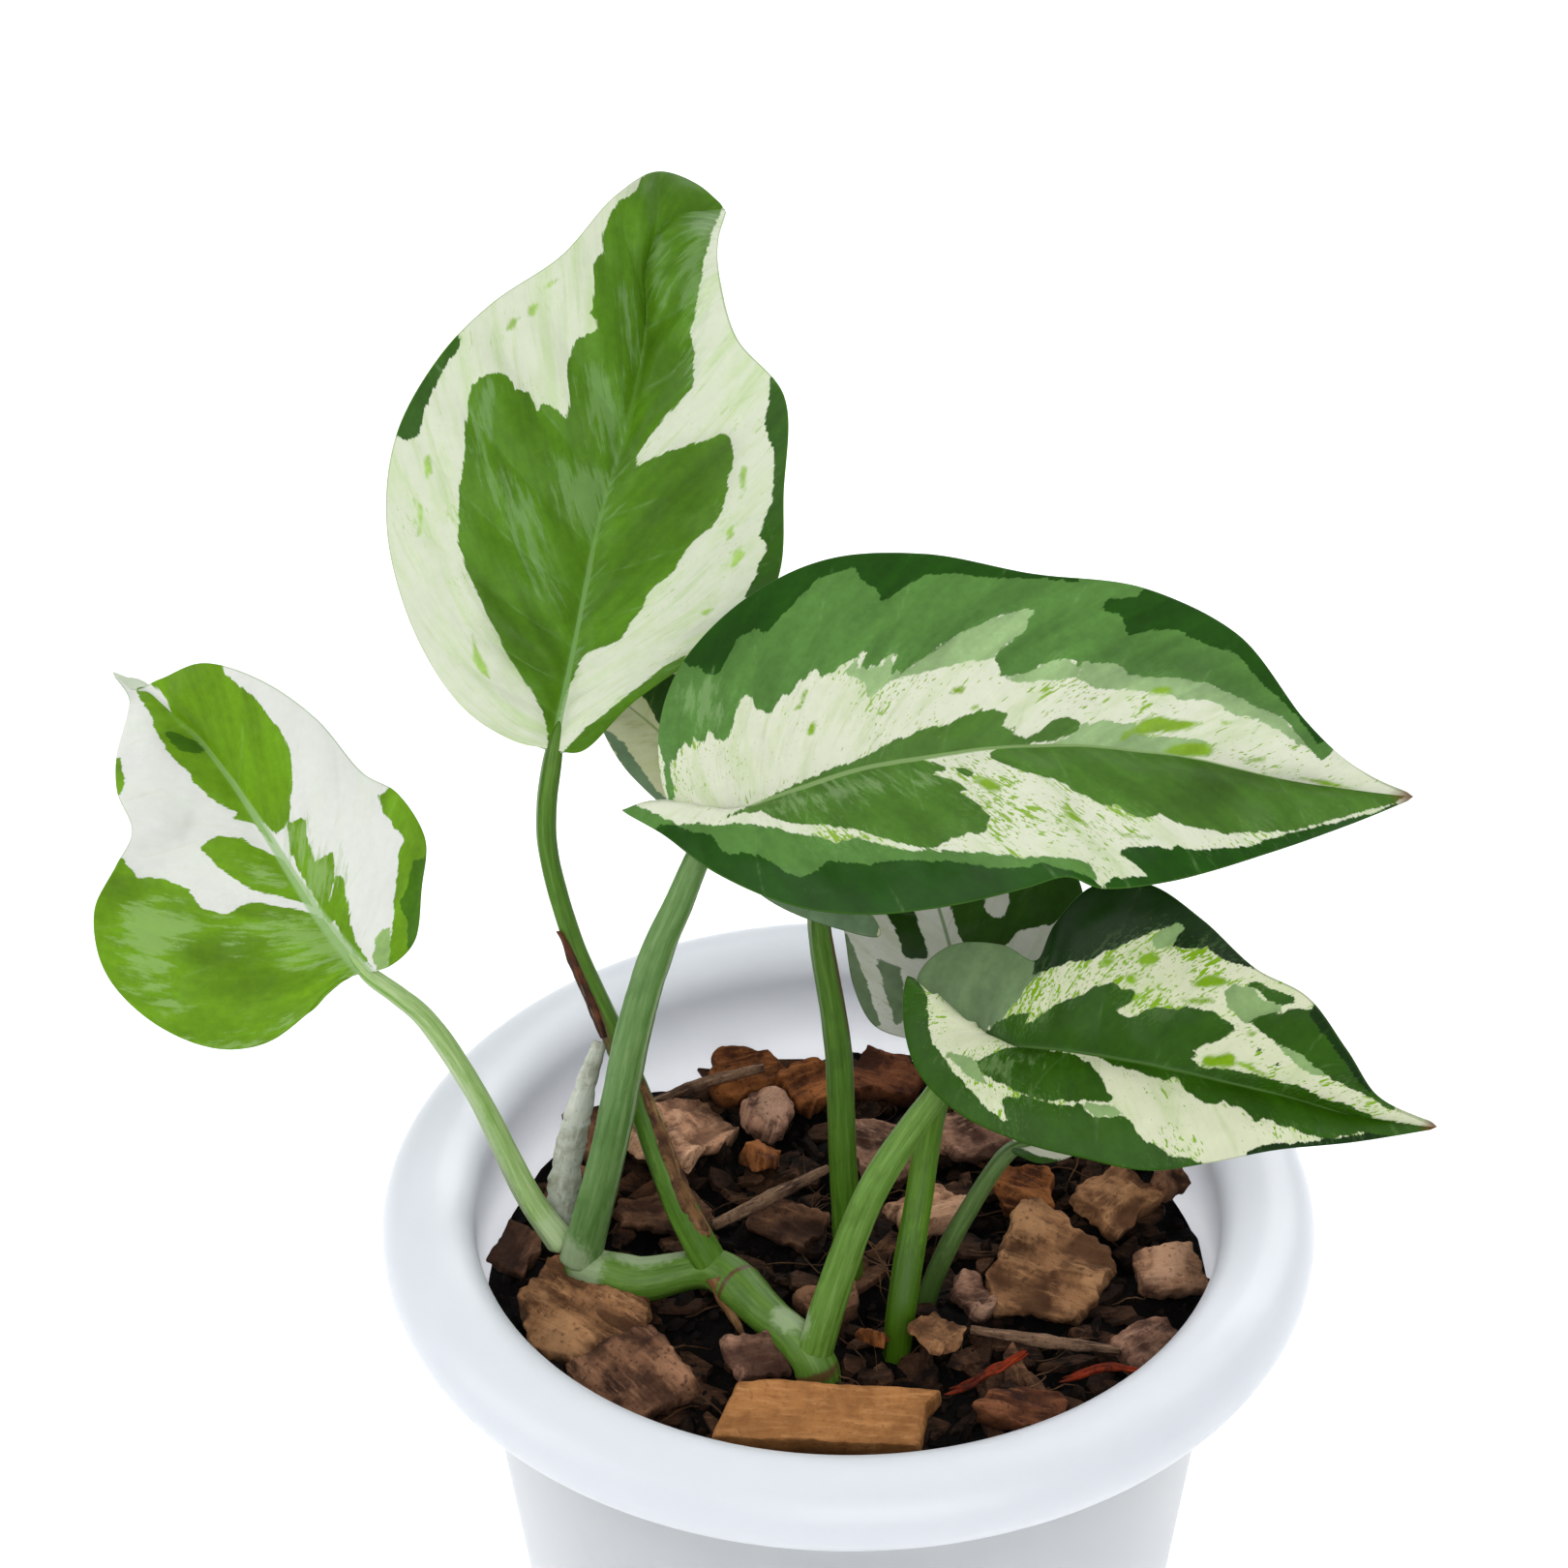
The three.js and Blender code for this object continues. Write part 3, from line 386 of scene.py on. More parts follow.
# Patches of each leaf, painted in this order over its cream ground: the tone, the half of the leaf that
# they lie on, and one or more outlines, each as x, y, x, y and so on, in the frame's pixels. The shade tone
# is painted shade and the haze tone is a painted sheen of the gloss; both have soft edges
PATCHES = {
    "leaf_tall": (
        ("green", "both", (566, 790, 566, 760, 561, 735, 556, 725, 549, 713, 541, 703, 534, 692, 527, 682,
            522, 672, 516, 660, 508, 648, 502, 635, 498, 622, 493, 612, 487, 600, 481, 585, 477, 570,
            472, 555, 474, 540, 474, 520, 474, 500, 478, 490, 480, 470, 482, 430, 484, 410, 488, 397,
            497, 389, 510, 385, 522, 387, 530, 395, 532, 403, 545, 405, 551, 415, 555, 425, 560, 417,
            570, 418, 580, 428, 585, 434, 587, 420, 588, 408, 585, 390, 586, 375, 592, 358, 597, 350,
            610, 344, 618, 340, 616, 330, 608, 323, 613, 318, 614, 295, 613, 275, 617, 265, 625, 262,
            622, 250, 623, 240, 628, 228, 634, 215, 640, 207, 650, 202, 657, 196, 662, 185, 672, 176,
            680, 160, 720, 170, 748, 212, 738, 235, 733, 250, 727, 270, 722, 300, 719, 320, 713, 345,
            717, 360, 717, 385, 716, 398, 708, 408, 700, 418, 690, 427, 680, 440, 670, 452, 662, 465,
            657, 480, 670, 476, 690, 467, 710, 460, 725, 456, 740, 450, 748, 448, 757, 455, 758, 470,
            757, 485, 752, 492, 752, 500, 750, 512, 747, 525, 742, 535, 735, 545, 725, 552, 715, 560,
            708, 570, 702, 580, 697, 590, 690, 598, 680, 603, 672, 610, 668, 618, 664, 628, 657, 635,
            650, 645, 645, 655, 638, 662, 628, 667, 615, 671, 606, 675, 600, 682, 597, 690, 592, 700,
            588, 710, 583, 722, 578, 740, 574, 760, 573, 790)),
        ("dark", "left", (408, 448, 405, 420, 430, 385, 455, 360, 476, 345, 475, 357, 462, 377, 450, 398,
            441, 418, 436, 435, 432, 452, 418, 455)),
        ("dark", "right", (783, 372, 797, 388, 796, 400, 793, 420, 790, 440, 795, 455, 801, 470, 801, 480,
            799, 500, 797, 515, 793, 530, 787, 545, 783, 553, 790, 560, 793, 563, 787, 575, 782, 590,
            778, 600, 772, 610, 765, 640, 830, 640, 840, 440, 820, 380, 795, 365)),
        ("green", "right", (708, 676, 680, 693, 660, 709, 641, 724, 625, 738, 605, 752, 588, 770, 574, 788,
            590, 800, 650, 740, 715, 690)),
        ("bright", "left", (441, 470, 445, 470, 446, 488, 441, 495, 439, 482), (432, 520, 436, 522,
            436, 552, 432, 553), (488, 655, 494, 672, 502, 688, 506, 700, 498, 696, 490, 680)),
        ("bright", "right", (765, 480, 772, 482, 770, 508, 764, 505), (757, 572, 766, 564, 770, 572,
            762, 585, 755, 590), (722, 634, 728, 629, 738, 629, 730, 637), (750, 548, 757, 543, 758, 553,
            752, 557)),
        ("bright", "left", (522, 342, 528, 330, 537, 328, 530, 340), (545, 327, 547, 316, 556, 314,
            553, 326), (560, 300, 567, 290, 577, 288, 570, 297)),
        ("painted_shade", "both", (645, 200, 660, 168, 700, 160, 735, 190, 730, 225, 700, 214, 665, 214), (655, 270,
            663, 268, 668, 320, 690, 372, 684, 384, 664, 350, 656, 310)),
        ("painted_sheen", "right", (706, 215, 744, 212, 738, 260, 727, 330, 722, 400, 706, 404, 708, 330, 700, 270)),
        ("painted_shade", "right", (662, 300, 676, 340, 692, 348, 708, 365, 712, 385, 704, 402, 690, 420, 676, 425,
            670, 400, 664, 350), (700, 466, 745, 450, 758, 460, 753, 490, 740, 515, 720, 545, 690, 572,
            655, 590, 632, 606, 638, 570, 652, 535, 668, 505)),
        ("painted_shade", "left", (500, 600, 525, 635, 562, 655, 576, 690, 570, 730, 550, 712, 525, 680, 503, 640)),
        ("painted_sheen", "left", (484, 460, 488, 405, 505, 392, 520, 398, 505, 425, 502, 470, 495, 500), (600, 390,
            615, 366, 636, 385, 648, 420, 652, 460, 640, 500, 618, 470, 605, 425), (500, 470, 525, 485,
            536, 510, 556, 512, 566, 560, 578, 605, 570, 628, 550, 610, 535, 572, 515, 530, 500, 505)),
        ("painted_sheen", "both", (570, 470, 640, 480, 632, 530, 612, 560, 590, 545, 572, 510)),
        ("painted_sheen", "left", (636, 300, 655, 300, 666, 345, 672, 380, 655, 375, 640, 345)),
        ("painted_sheen", "right", (664, 232, 685, 215, 692, 245, 690, 320, 672, 315, 668, 270), (604, 590, 616, 590,
            602, 645, 592, 700, 580, 745, 578, 705, 592, 650)),
    ),
    "leaf_front": (
        ("grey", "left", (670, 760, 681, 770, 686, 785, 687, 800, 691, 830, 697, 826, 693, 805, 692, 785,
            700, 786, 701, 776, 708, 766, 713, 772, 716, 762, 720, 766, 726, 768, 730, 757, 733, 754,
            737, 757, 739, 763, 746, 765, 752, 763, 755, 757, 757, 747, 760, 738, 763, 730, 766, 722,
            769, 718, 773, 716, 776, 722, 780, 730, 786, 733, 793, 737, 797, 738, 800, 732, 803, 725,
            809, 718, 818, 716, 822, 712, 826, 705, 833, 700, 838, 693, 842, 691, 846, 693, 847, 701,
            852, 696, 857, 693, 861, 693, 866, 688, 873, 685, 880, 682, 884, 680, 889, 675, 893, 672,
            895, 675, 891, 683, 889, 690, 895, 692, 902, 688, 908, 687, 912, 682, 918, 679, 923, 676,
            928, 673, 927, 680, 922, 688, 918, 697, 917, 704, 930, 697, 950, 682, 970, 668, 990, 655,
            1012, 645, 1040, 634, 1060, 629, 1072, 631, 1062, 640, 1060, 650, 1048, 661, 1034, 670,
            1026, 680, 1032, 688, 1034, 700, 1045, 698, 1060, 695, 1068, 693, 1075, 687, 1085, 684,
            1095, 681, 1105, 680, 1112, 683, 1112, 690, 1120, 688, 1128, 690, 1140, 691, 1152, 690,
            1158, 698, 1165, 701, 1200, 702, 1215, 705, 1245, 709, 1252, 708, 1258, 716, 1270, 722,
            1300, 733, 1325, 741, 1332, 748, 1350, 770, 1358, 780, 1366, 786, 1374, 779, 1380, 770,
            1345, 690, 1290, 620, 1180, 580, 900, 550, 700, 620, 660, 730)),
        ("dark", "left", (712, 689, 720, 687, 724, 692, 730, 697, 738, 697, 745, 693, 748, 685, 753, 677,
            757, 668, 762, 660, 768, 655, 775, 655, 779, 650, 785, 650, 788, 656, 794, 652, 800, 643,
            808, 634, 814, 630, 822, 620, 830, 612, 836, 608, 840, 601, 848, 596, 862, 592, 870, 590,
            878, 586, 883, 585, 886, 592, 888, 597, 896, 601, 899, 606, 905, 606, 907, 614, 910, 621,
            917, 617, 932, 607, 945, 600, 957, 594, 975, 592, 995, 593, 1010, 596, 1030, 598, 1060, 597,
            1115, 601, 1100, 570, 900, 550, 780, 590, 690, 670), (1185, 606, 1175, 616, 1160, 618,
            1145, 618, 1140, 625, 1137, 630, 1145, 632, 1157, 635, 1161, 640, 1162, 648, 1166, 657,
            1180, 654, 1195, 650, 1210, 649, 1217, 650, 1222, 655, 1240, 663, 1262, 671, 1275, 673,
            1282, 680, 1296, 698, 1303, 706, 1322, 722, 1340, 740, 1352, 757, 1360, 768, 1390, 760,
            1300, 620, 1200, 590)),
        ("sage", "left", (917, 704, 926, 690, 930, 697, 950, 682, 970, 668, 990, 655, 1012, 645, 1040, 634,
            1060, 629, 1070, 631, 1062, 640, 1060, 650, 1048, 661, 1034, 670, 1026, 680, 1010, 682,
            990, 686, 965, 691, 945, 697, 925, 702), (1036, 704, 1045, 698, 1068, 693, 1085, 684, 1105, 680,
            1112, 690, 1116, 700, 1085, 702, 1060, 705), (1112, 700, 1120, 684, 1140, 685, 1154, 684,
            1165, 697, 1200, 699, 1245, 704, 1260, 711, 1300, 730, 1325, 741, 1350, 770, 1340, 768,
            1325, 757, 1298, 743, 1280, 740, 1265, 735, 1262, 727, 1245, 722, 1222, 723, 1210, 718,
            1170, 712, 1130, 711), (873, 694, 893, 672, 886, 692, 902, 688, 910, 690, 921, 676, 920, 704,
            897, 721, 892, 706)),
        ("bright", "left", (1187, 717, 1193, 711, 1206, 710, 1211, 714, 1200, 717)),
        ("green", "left", (742, 850, 760, 841, 770, 838, 785, 830, 800, 820, 820, 812, 835, 803, 858, 795,
            885, 785, 898, 780, 905, 775, 915, 769, 925, 763, 940, 760, 950, 754, 962, 750, 970, 752,
            978, 750, 985, 745, 993, 740, 1005, 737, 1025, 732, 1035, 735, 1041, 738, 1037, 745, 1034, 751,
            1043, 752, 1050, 747, 1055, 745, 1050, 753, 1044, 758, 1052, 759, 1060, 762, 1072, 757,
            1083, 748, 1093, 742, 1103, 741, 1115, 746, 1112, 755, 1100, 759, 1085, 765, 1060, 769,
            1100, 775, 1060, 782, 1000, 790, 900, 806, 800, 840)),
        ("sage", "left", (1080, 770, 1100, 763, 1112, 755, 1120, 748, 1140, 744, 1160, 748, 1172, 747,
            1170, 759, 1200, 760, 1235, 763, 1250, 769, 1254, 775, 1248, 782, 1220, 783, 1190, 779,
            1150, 775, 1110, 775)),
        ("bright", "left", (1155, 765, 1160, 757, 1172, 752, 1180, 745, 1190, 740, 1205, 741, 1243, 747,
            1230, 752, 1210, 757, 1170, 759, 1162, 764), (1200, 778, 1213, 770, 1232, 767, 1248, 769,
            1254, 775, 1246, 781, 1222, 781)),
        ("green", "right", (742, 850, 752, 843, 772, 840, 785, 838, 800, 845, 815, 850, 845, 852, 875, 855,
            885, 858, 915, 866, 925, 870, 950, 876, 965, 876, 980, 868, 997, 862, 1003, 860, 1013, 862,
            1020, 856, 1023, 842, 1018, 838, 1003, 826, 998, 822, 990, 819, 998, 816, 993, 810, 983, 805,
            975, 803, 963, 800, 970, 797, 977, 797, 978, 792, 968, 789, 940, 780, 880, 790, 800, 815),
            (1020, 784, 1040, 790, 1055, 796, 1070, 800, 1090, 806, 1103, 810, 1107, 815, 1125, 825,
            1135, 830, 1145, 832, 1155, 833, 1160, 838, 1168, 843, 1180, 845, 1192, 844, 1198, 840,
            1205, 845, 1222, 853, 1240, 857, 1255, 858, 1262, 861, 1295, 860, 1330, 858, 1345, 856,
            1380, 846, 1420, 835, 1440, 830, 1460, 818, 1440, 800, 1300, 780, 1200, 765, 1100, 760,
            1030, 770), (985, 794, 998, 792, 1010, 797, 1004, 803, 992, 800)),
        ("bright", "right", (1008, 806, 1020, 803, 1036, 812, 1034, 818, 1018, 816), (1098, 838, 1112, 840,
            1122, 850, 1106, 848), (1148, 859, 1162, 861, 1188, 866, 1165, 865)),
        ("bright", "left", (822, 733, 827, 727, 830, 716, 835, 710, 832, 724, 827, 733), (833, 758,
            836, 748, 842, 745, 840, 758), (981, 717, 985, 711, 997, 708, 995, 716), (1004, 733, 1009, 728,
            1013, 730, 1008, 735), (1262, 745, 1278, 747, 1262, 749), (1280, 784, 1310, 782, 1306, 786,
            1285, 787), (1340, 803, 1370, 807, 1394, 814, 1370, 811)),
        ("grey", "right", (700, 851, 740, 852, 765, 851, 790, 853, 810, 858, 830, 862, 850, 865, 866, 871,
            870, 867, 885, 866, 895, 868, 910, 872, 925, 877, 940, 879, 955, 878, 1000, 880, 1040, 883,
            1053, 887, 1066, 884, 1085, 885, 1105, 887, 1120, 888, 1127, 893, 1133, 903, 1136, 925,
            1000, 960, 760, 930, 680, 880, 630, 830, 645, 826)),
        ("dark", "right", (690, 851, 712, 858, 735, 862, 740, 870, 745, 878, 755, 885, 765, 882, 775, 882,
            785, 885, 795, 890, 805, 897, 815, 902, 828, 906, 835, 903, 845, 900, 852, 892, 860, 888,
            880, 892, 895, 893, 910, 891, 940, 887, 960, 890, 980, 889, 1000, 892, 1020, 897, 1040, 897,
            1060, 895, 1080, 893, 1097, 897, 1118, 903, 1140, 915, 1120, 940, 1000, 980, 800, 960, 700, 900,
            660, 862), (1155, 882, 1163, 876, 1185, 873, 1200, 876, 1212, 878, 1215, 873, 1225, 876,
            1245, 878, 1270, 876, 1290, 874, 1305, 869, 1340, 859, 1380, 850, 1420, 839, 1445, 829,
            1460, 840, 1380, 880, 1280, 910, 1180, 930, 1140, 915, 1150, 906, 1185, 905, 1172, 893)),
        ("painted_sheen", "right", (780, 836, 860, 803, 950, 799, 1000, 812, 950, 816, 900, 822, 850, 836,
            800, 845)),
        ("painted_shade", "left", (1150, 675, 1210, 655, 1270, 690, 1345, 760, 1290, 728, 1215, 700, 1160, 694)),
        ("painted_sheen", "left", (700, 710, 740, 700, 750, 730, 735, 760, 715, 750)),
        ("painted_shade", "left", (720, 680, 760, 640, 800, 625, 790, 650, 750, 690)),
        ("painted_shade", "right", (1240, 790, 1300, 800, 1250, 850, 1215, 825)),
    ),
    "leaf_left": (
        ("green", "right", (150, 700, 160, 694, 170, 680, 190, 670, 220, 670, 232, 695, 240, 703, 252, 712,
            262, 720, 272, 732, 280, 742, 288, 752, 294, 762, 299, 775, 302, 790, 302, 810, 300, 825,
            300, 838, 296, 852, 285, 862, 250, 830, 220, 790, 200, 768, 180, 745, 172, 722, 163, 712)),
        ("green", "left", (143, 700, 141, 715, 148, 728, 155, 738, 160, 752, 166, 765, 175, 778, 185, 790,
            196, 797, 200, 808, 212, 820, 225, 830, 245, 840, 238, 846, 250, 848, 262, 850, 268, 858,
            278, 868, 290, 880, 303, 893, 320, 890, 280, 830, 240, 770, 200, 730, 165, 700), (207, 876,
            215, 868, 225, 864, 240, 864, 252, 867, 262, 874, 275, 880, 288, 886, 300, 893, 318, 900,
            345, 940, 335, 940, 325, 937, 310, 932, 295, 927, 280, 924, 262, 920, 250, 914, 240, 905,
            228, 897, 218, 888), (235, 945, 245, 937, 255, 933, 270, 933, 290, 936, 305, 939, 320, 943,
            330, 948, 340, 950, 365, 970, 400, 1005, 380, 1025, 350, 1040, 320, 1090, 180, 1100, 90, 1040,
            80, 920, 100, 880, 125, 885, 130, 892, 138, 900, 142, 907, 155, 906, 170, 908, 182, 913,
            195, 920, 202, 930, 210, 938, 222, 943)),
        ("painted_sheen", "left", (118, 950, 135, 935, 160, 925, 185, 930, 205, 945, 214, 962, 200, 975, 180, 985,
            182, 1000, 172, 1016, 150, 1008, 130, 990), (222, 948, 240, 952, 258, 960, 252, 972, 240, 980,
            226, 968), (280, 985, 310, 978, 345, 985, 365, 1000, 330, 1004, 290, 1000)),
        ("green", "right", (391, 822, 398, 817, 408, 800, 460, 850, 460, 960, 420, 1010, 398, 1004,
            402, 985, 404, 970, 407, 950, 407, 930, 409, 910, 412, 890, 412, 880, 418, 868, 412, 858,
            405, 853, 400, 845, 395, 838)),
        ("dark", "right", (428, 890, 450, 880, 450, 960, 428, 985, 420, 976, 422, 955, 414, 940, 414, 930,
            420, 922)),
        ("sage", "right", (385, 990, 387, 970, 395, 961, 404, 958, 403, 985, 400, 1003, 390, 1002)),
        ("green", "right", (296, 852, 310, 846, 317, 848, 318, 860, 320, 875, 325, 890, 343, 881, 345, 890,
            345, 910, 340, 930, 350, 950, 340, 955, 320, 920, 300, 880)),
        ("painted_sheen", "right", (292, 848, 320, 842, 328, 880, 350, 876, 352, 905, 338, 940, 318, 925, 298, 885)),
        ("green", "right", (346, 905, 352, 903, 357, 918, 360, 935, 362, 955, 368, 972, 378, 990, 385, 1000,
            365, 985, 350, 960, 338, 938, 342, 925)),
        ("green", "left", (110, 785, 124, 783, 128, 800, 128, 815, 124, 822, 110, 815)),
        ("sage", "right", (335, 747, 345, 752, 362, 784, 352, 770)),
        ("dark", "left", (170, 758, 176, 756, 192, 762, 205, 768, 214, 776, 202, 779, 190, 776, 178, 768)),
        ("painted_shade", "left", (165, 745, 182, 748, 205, 762, 218, 780, 190, 780, 170, 762), (95, 930, 110, 900,
            140, 905, 160, 915, 140, 935, 105, 945), (190, 975, 260, 975, 295, 1005, 280, 1035, 250, 1040,
            200, 1010)),
        ("painted_sheen", "left", (110, 960, 160, 985, 165, 1010, 200, 1045, 170, 1050, 125, 1010), (236, 950,
            300, 944, 345, 958, 384, 990, 372, 1010, 330, 1000, 290, 976, 250, 966), (190, 1068, 250, 1072,
            310, 1048, 296, 1068, 250, 1084, 205, 1080), (240, 885, 270, 893, 290, 915, 262, 912)),
    ),
    "leaf_low": (
        # The grey far lobe is a painted sheen: the lobe turned away, mirroring the white around it
        ("grey", "left", (1078, 1003, 1060, 1020, 1045, 1043, 1010, 1070, 1000, 1092, 960, 1060, 930, 1000,
            960, 960, 1040, 960, 1090, 975)),
        ("dark", "left", (1068, 1008, 1068, 985, 1070, 970, 1075, 955, 1080, 935, 1085, 900, 1160, 890,
            1230, 900, 1320, 1010, 1294, 1000, 1280, 997, 1265, 992, 1255, 985, 1248, 978, 1240, 980,
            1225, 980, 1210, 978, 1205, 958, 1190, 962, 1175, 970, 1160, 976, 1150, 980, 1140, 983,
            1130, 990, 1117, 995, 1105, 993, 1095, 998)),
        ("sage", "left", (1190, 971, 1195, 963, 1205, 958, 1215, 953, 1222, 955, 1224, 960, 1216, 968,
            1211, 978, 1200, 982, 1192, 980)),
        ("bright", "left", (1175, 990, 1182, 986, 1192, 984, 1198, 990, 1192, 996, 1180, 998), (1133, 997,
            1142, 990, 1153, 991, 1144, 998), (1161, 1017, 1164, 1008, 1175, 1007, 1173, 1017), (1168, 1034,
            1170, 1028, 1182, 1027, 1178, 1033), (1230, 1018, 1240, 1010, 1250, 1007, 1265, 1011,
            1276, 1016, 1262, 1019, 1245, 1020), (1218, 1032, 1235, 1031, 1255, 1031, 1255, 1036,
            1240, 1037, 1222, 1036)),
        ("sage", "left", (1266, 1025, 1275, 1018, 1290, 1020, 1300, 1028, 1310, 1035, 1325, 1040,
            1325, 1047, 1310, 1050, 1295, 1055, 1288, 1057, 1278, 1050, 1268, 1040)),
        ("green", "left", (1283, 1016, 1295, 1014, 1303, 1016, 1312, 1020, 1325, 1025, 1337, 1030,
            1338, 1036, 1325, 1038, 1315, 1036, 1305, 1030, 1300, 1023, 1290, 1018), (990, 1092, 1000, 1085,
            1010, 1075, 1025, 1060, 1040, 1050, 1055, 1047, 1065, 1045, 1058, 1059, 1068, 1055, 1080, 1045,
            1092, 1037, 1105, 1032, 1118, 1027, 1130, 1020, 1140, 1017, 1152, 1015, 1158, 1020, 1163, 1023,
            1170, 1022, 1172, 1027, 1170, 1035, 1163, 1038, 1153, 1043, 1157, 1047, 1165, 1050, 1175, 1050,
            1185, 1043, 1195, 1040, 1210, 1042, 1225, 1040, 1240, 1042, 1255, 1045, 1262, 1052, 1270, 1056,
            1279, 1064, 1265, 1072, 1250, 1079, 1240, 1082, 1232, 1085, 1240, 1091, 1230, 1093, 1235, 1098,
            1240, 1102, 1262, 1105, 1290, 1109, 1310, 1113, 1325, 1118, 1340, 1120, 1355, 1127, 1365, 1134,
            1395, 1143, 1420, 1155, 1460, 1162, 1492, 1167, 1480, 1185, 1400, 1170, 1340, 1145, 1280, 1125,
            1200, 1112, 1100, 1100, 1000, 1100)),
        ("bright", "left", (1240, 1101, 1245, 1092, 1258, 1091, 1270, 1087, 1278, 1092, 1275, 1100,
            1262, 1102), (1278, 1098, 1290, 1100, 1310, 1110, 1300, 1110)),
        ("green", "left", (1297, 1087, 1300, 1083, 1305, 1084, 1303, 1088), (1316, 1101, 1320, 1098,
            1326, 1100, 1320, 1102)),
        ("bright", "left", (1287, 1069, 1291, 1065, 1298, 1067, 1294, 1071)),
        ("green", "left", (1290, 1055, 1300, 1050, 1325, 1046, 1330, 1041, 1338, 1040, 1350, 1043,
            1362, 1040, 1400, 1060, 1450, 1130, 1450, 1147, 1440, 1148, 1425, 1140, 1410, 1130, 1395, 1125,
            1380, 1117, 1365, 1108, 1352, 1098, 1345, 1090, 1330, 1083, 1318, 1078, 1305, 1068)),
        ("sage", "left", (1310, 1071, 1330, 1083, 1345, 1090, 1352, 1098, 1372, 1112, 1360, 1111,
            1345, 1105, 1335, 1095, 1322, 1083)),
        ("dark", "left", (1352, 1048, 1358, 1036, 1390, 1060, 1440, 1120, 1430, 1136, 1425, 1136,
            1410, 1125, 1400, 1112, 1385, 1092, 1370, 1070, 1360, 1060)),
        ("green", "right", (1004, 1095, 1010, 1095, 1030, 1085, 1060, 1080, 1105, 1088, 1125, 1098,
            1135, 1108, 1140, 1118, 1145, 1128, 1152, 1134, 1145, 1140, 1135, 1138, 1120, 1136, 1110, 1138,
            1098, 1136, 1088, 1138, 1075, 1136, 1060, 1131, 1045, 1125, 1030, 1118, 1014, 1108),
            (1033, 1137, 1040, 1133, 1050, 1135, 1057, 1130, 1065, 1133, 1080, 1138, 1095, 1141, 1107, 1143,
            1118, 1140, 1125, 1150, 1135, 1155, 1148, 1152, 1160, 1153, 1168, 1158, 1175, 1170, 1185, 1180,
            1200, 1185, 1207, 1195, 1215, 1194, 1230, 1197, 1245, 1203, 1245, 1225, 1100, 1210, 1030, 1175,
            1045, 1164, 1043, 1160, 1038, 1152)),
        ("sage", "right", (1118, 1138, 1130, 1140, 1145, 1142, 1160, 1150, 1148, 1153, 1135, 1155,
            1127, 1150, 1120, 1145)),
        ("green", "right", (1128, 1088, 1150, 1101, 1175, 1106, 1190, 1112, 1205, 1116, 1215, 1112,
            1220, 1120, 1225, 1127, 1235, 1133, 1245, 1140, 1258, 1141, 1265, 1138, 1272, 1143, 1285, 1147,
            1292, 1153, 1297, 1160, 1305, 1155, 1312, 1157, 1320, 1163, 1335, 1165, 1345, 1170, 1360, 1175,
            1375, 1176, 1410, 1171, 1420, 1173, 1475, 1190, 1500, 1160, 1400, 1140, 1300, 1100,
            1200, 1080)),
        ("dark", "right", (1286, 1192, 1300, 1183, 1345, 1180, 1395, 1174, 1410, 1170, 1440, 1173,
            1480, 1171, 1490, 1200, 1300, 1205)),
        ("green", "right", (930, 1000, 950, 1012, 958, 1030, 960, 1060, 964, 1078, 975, 1092, 985, 1108,
            1000, 1125, 1020, 1145, 1043, 1160, 1060, 1180, 1000, 1170, 940, 1130, 920, 1060)),
        ("sage", "right", (976, 1088, 990, 1088, 1004, 1092, 1012, 1105, 1020, 1120, 1000, 1112)),
        ("painted_sheen", "right", (1004, 1097, 1030, 1092, 1070, 1089, 1075, 1100, 1050, 1102, 1040, 1115,
            1015, 1110)),
    ),
    "leaf_under": (
        ("dark", "right", (655, 712, 680, 698, 710, 695, 700, 712, 692, 728, 685, 752, 676, 742, 668, 725)),
        ("grey", "left", (620, 752, 632, 756, 645, 770, 660, 790, 675, 812, 700, 838, 740, 870, 800, 905,
            910, 950, 900, 985, 780, 935, 680, 850)),
        ("sage", "both", (690, 745, 740, 760, 800, 800, 850, 850, 790, 860, 720, 810)),
        ("green", "right", (700, 700, 780, 690, 860, 740, 900, 800, 850, 820, 780, 770, 720, 730)),
        ("painted_sheen", "both", (640, 740, 700, 760, 760, 820, 700, 820)),
    ),
    "leaf_back": (
        ("dark", "both", (870, 900, 905, 930, 925, 960, 935, 990, 960, 990, 945, 940, 930, 900)),
        ("green", "both", (983, 900, 983, 940, 990, 965, 1000, 985, 1030, 985, 1042, 972, 1050, 962,
            1085, 956, 1100, 946, 1125, 915, 1120, 880, 1040, 880)),
        ("cream", "both", (1016, 938, 1020, 922, 1040, 914, 1043, 930, 1038, 945, 1030, 949, 1022, 944)),
        ("grey", "left", (850, 960, 875, 965, 890, 1000, 910, 1060, 880, 1060)),
        ("grey", "both", (905, 990, 930, 1000, 940, 1050, 925, 1060)),
    ),
    "leaf_small": (
        ("green", "right", (1040, 1180, 1075, 1195, 1130, 1205, 1130, 1240, 1040, 1230)),
        ("grey", "left", (1040, 1120, 1080, 1140, 1120, 1160, 1080, 1170)),
    ),
}

TONES = ("cream", "sage", "grey", "green", "dark", "bright")
# The soft tones: painted shade and painted sheen
SOFT_TONES = ("painted_shade", "painted_sheen")
FAR = 20.0  # millimetres, further than any patch reaches
PATCH_REACH = 5  # millimetres round a patch within which its distance is worked out

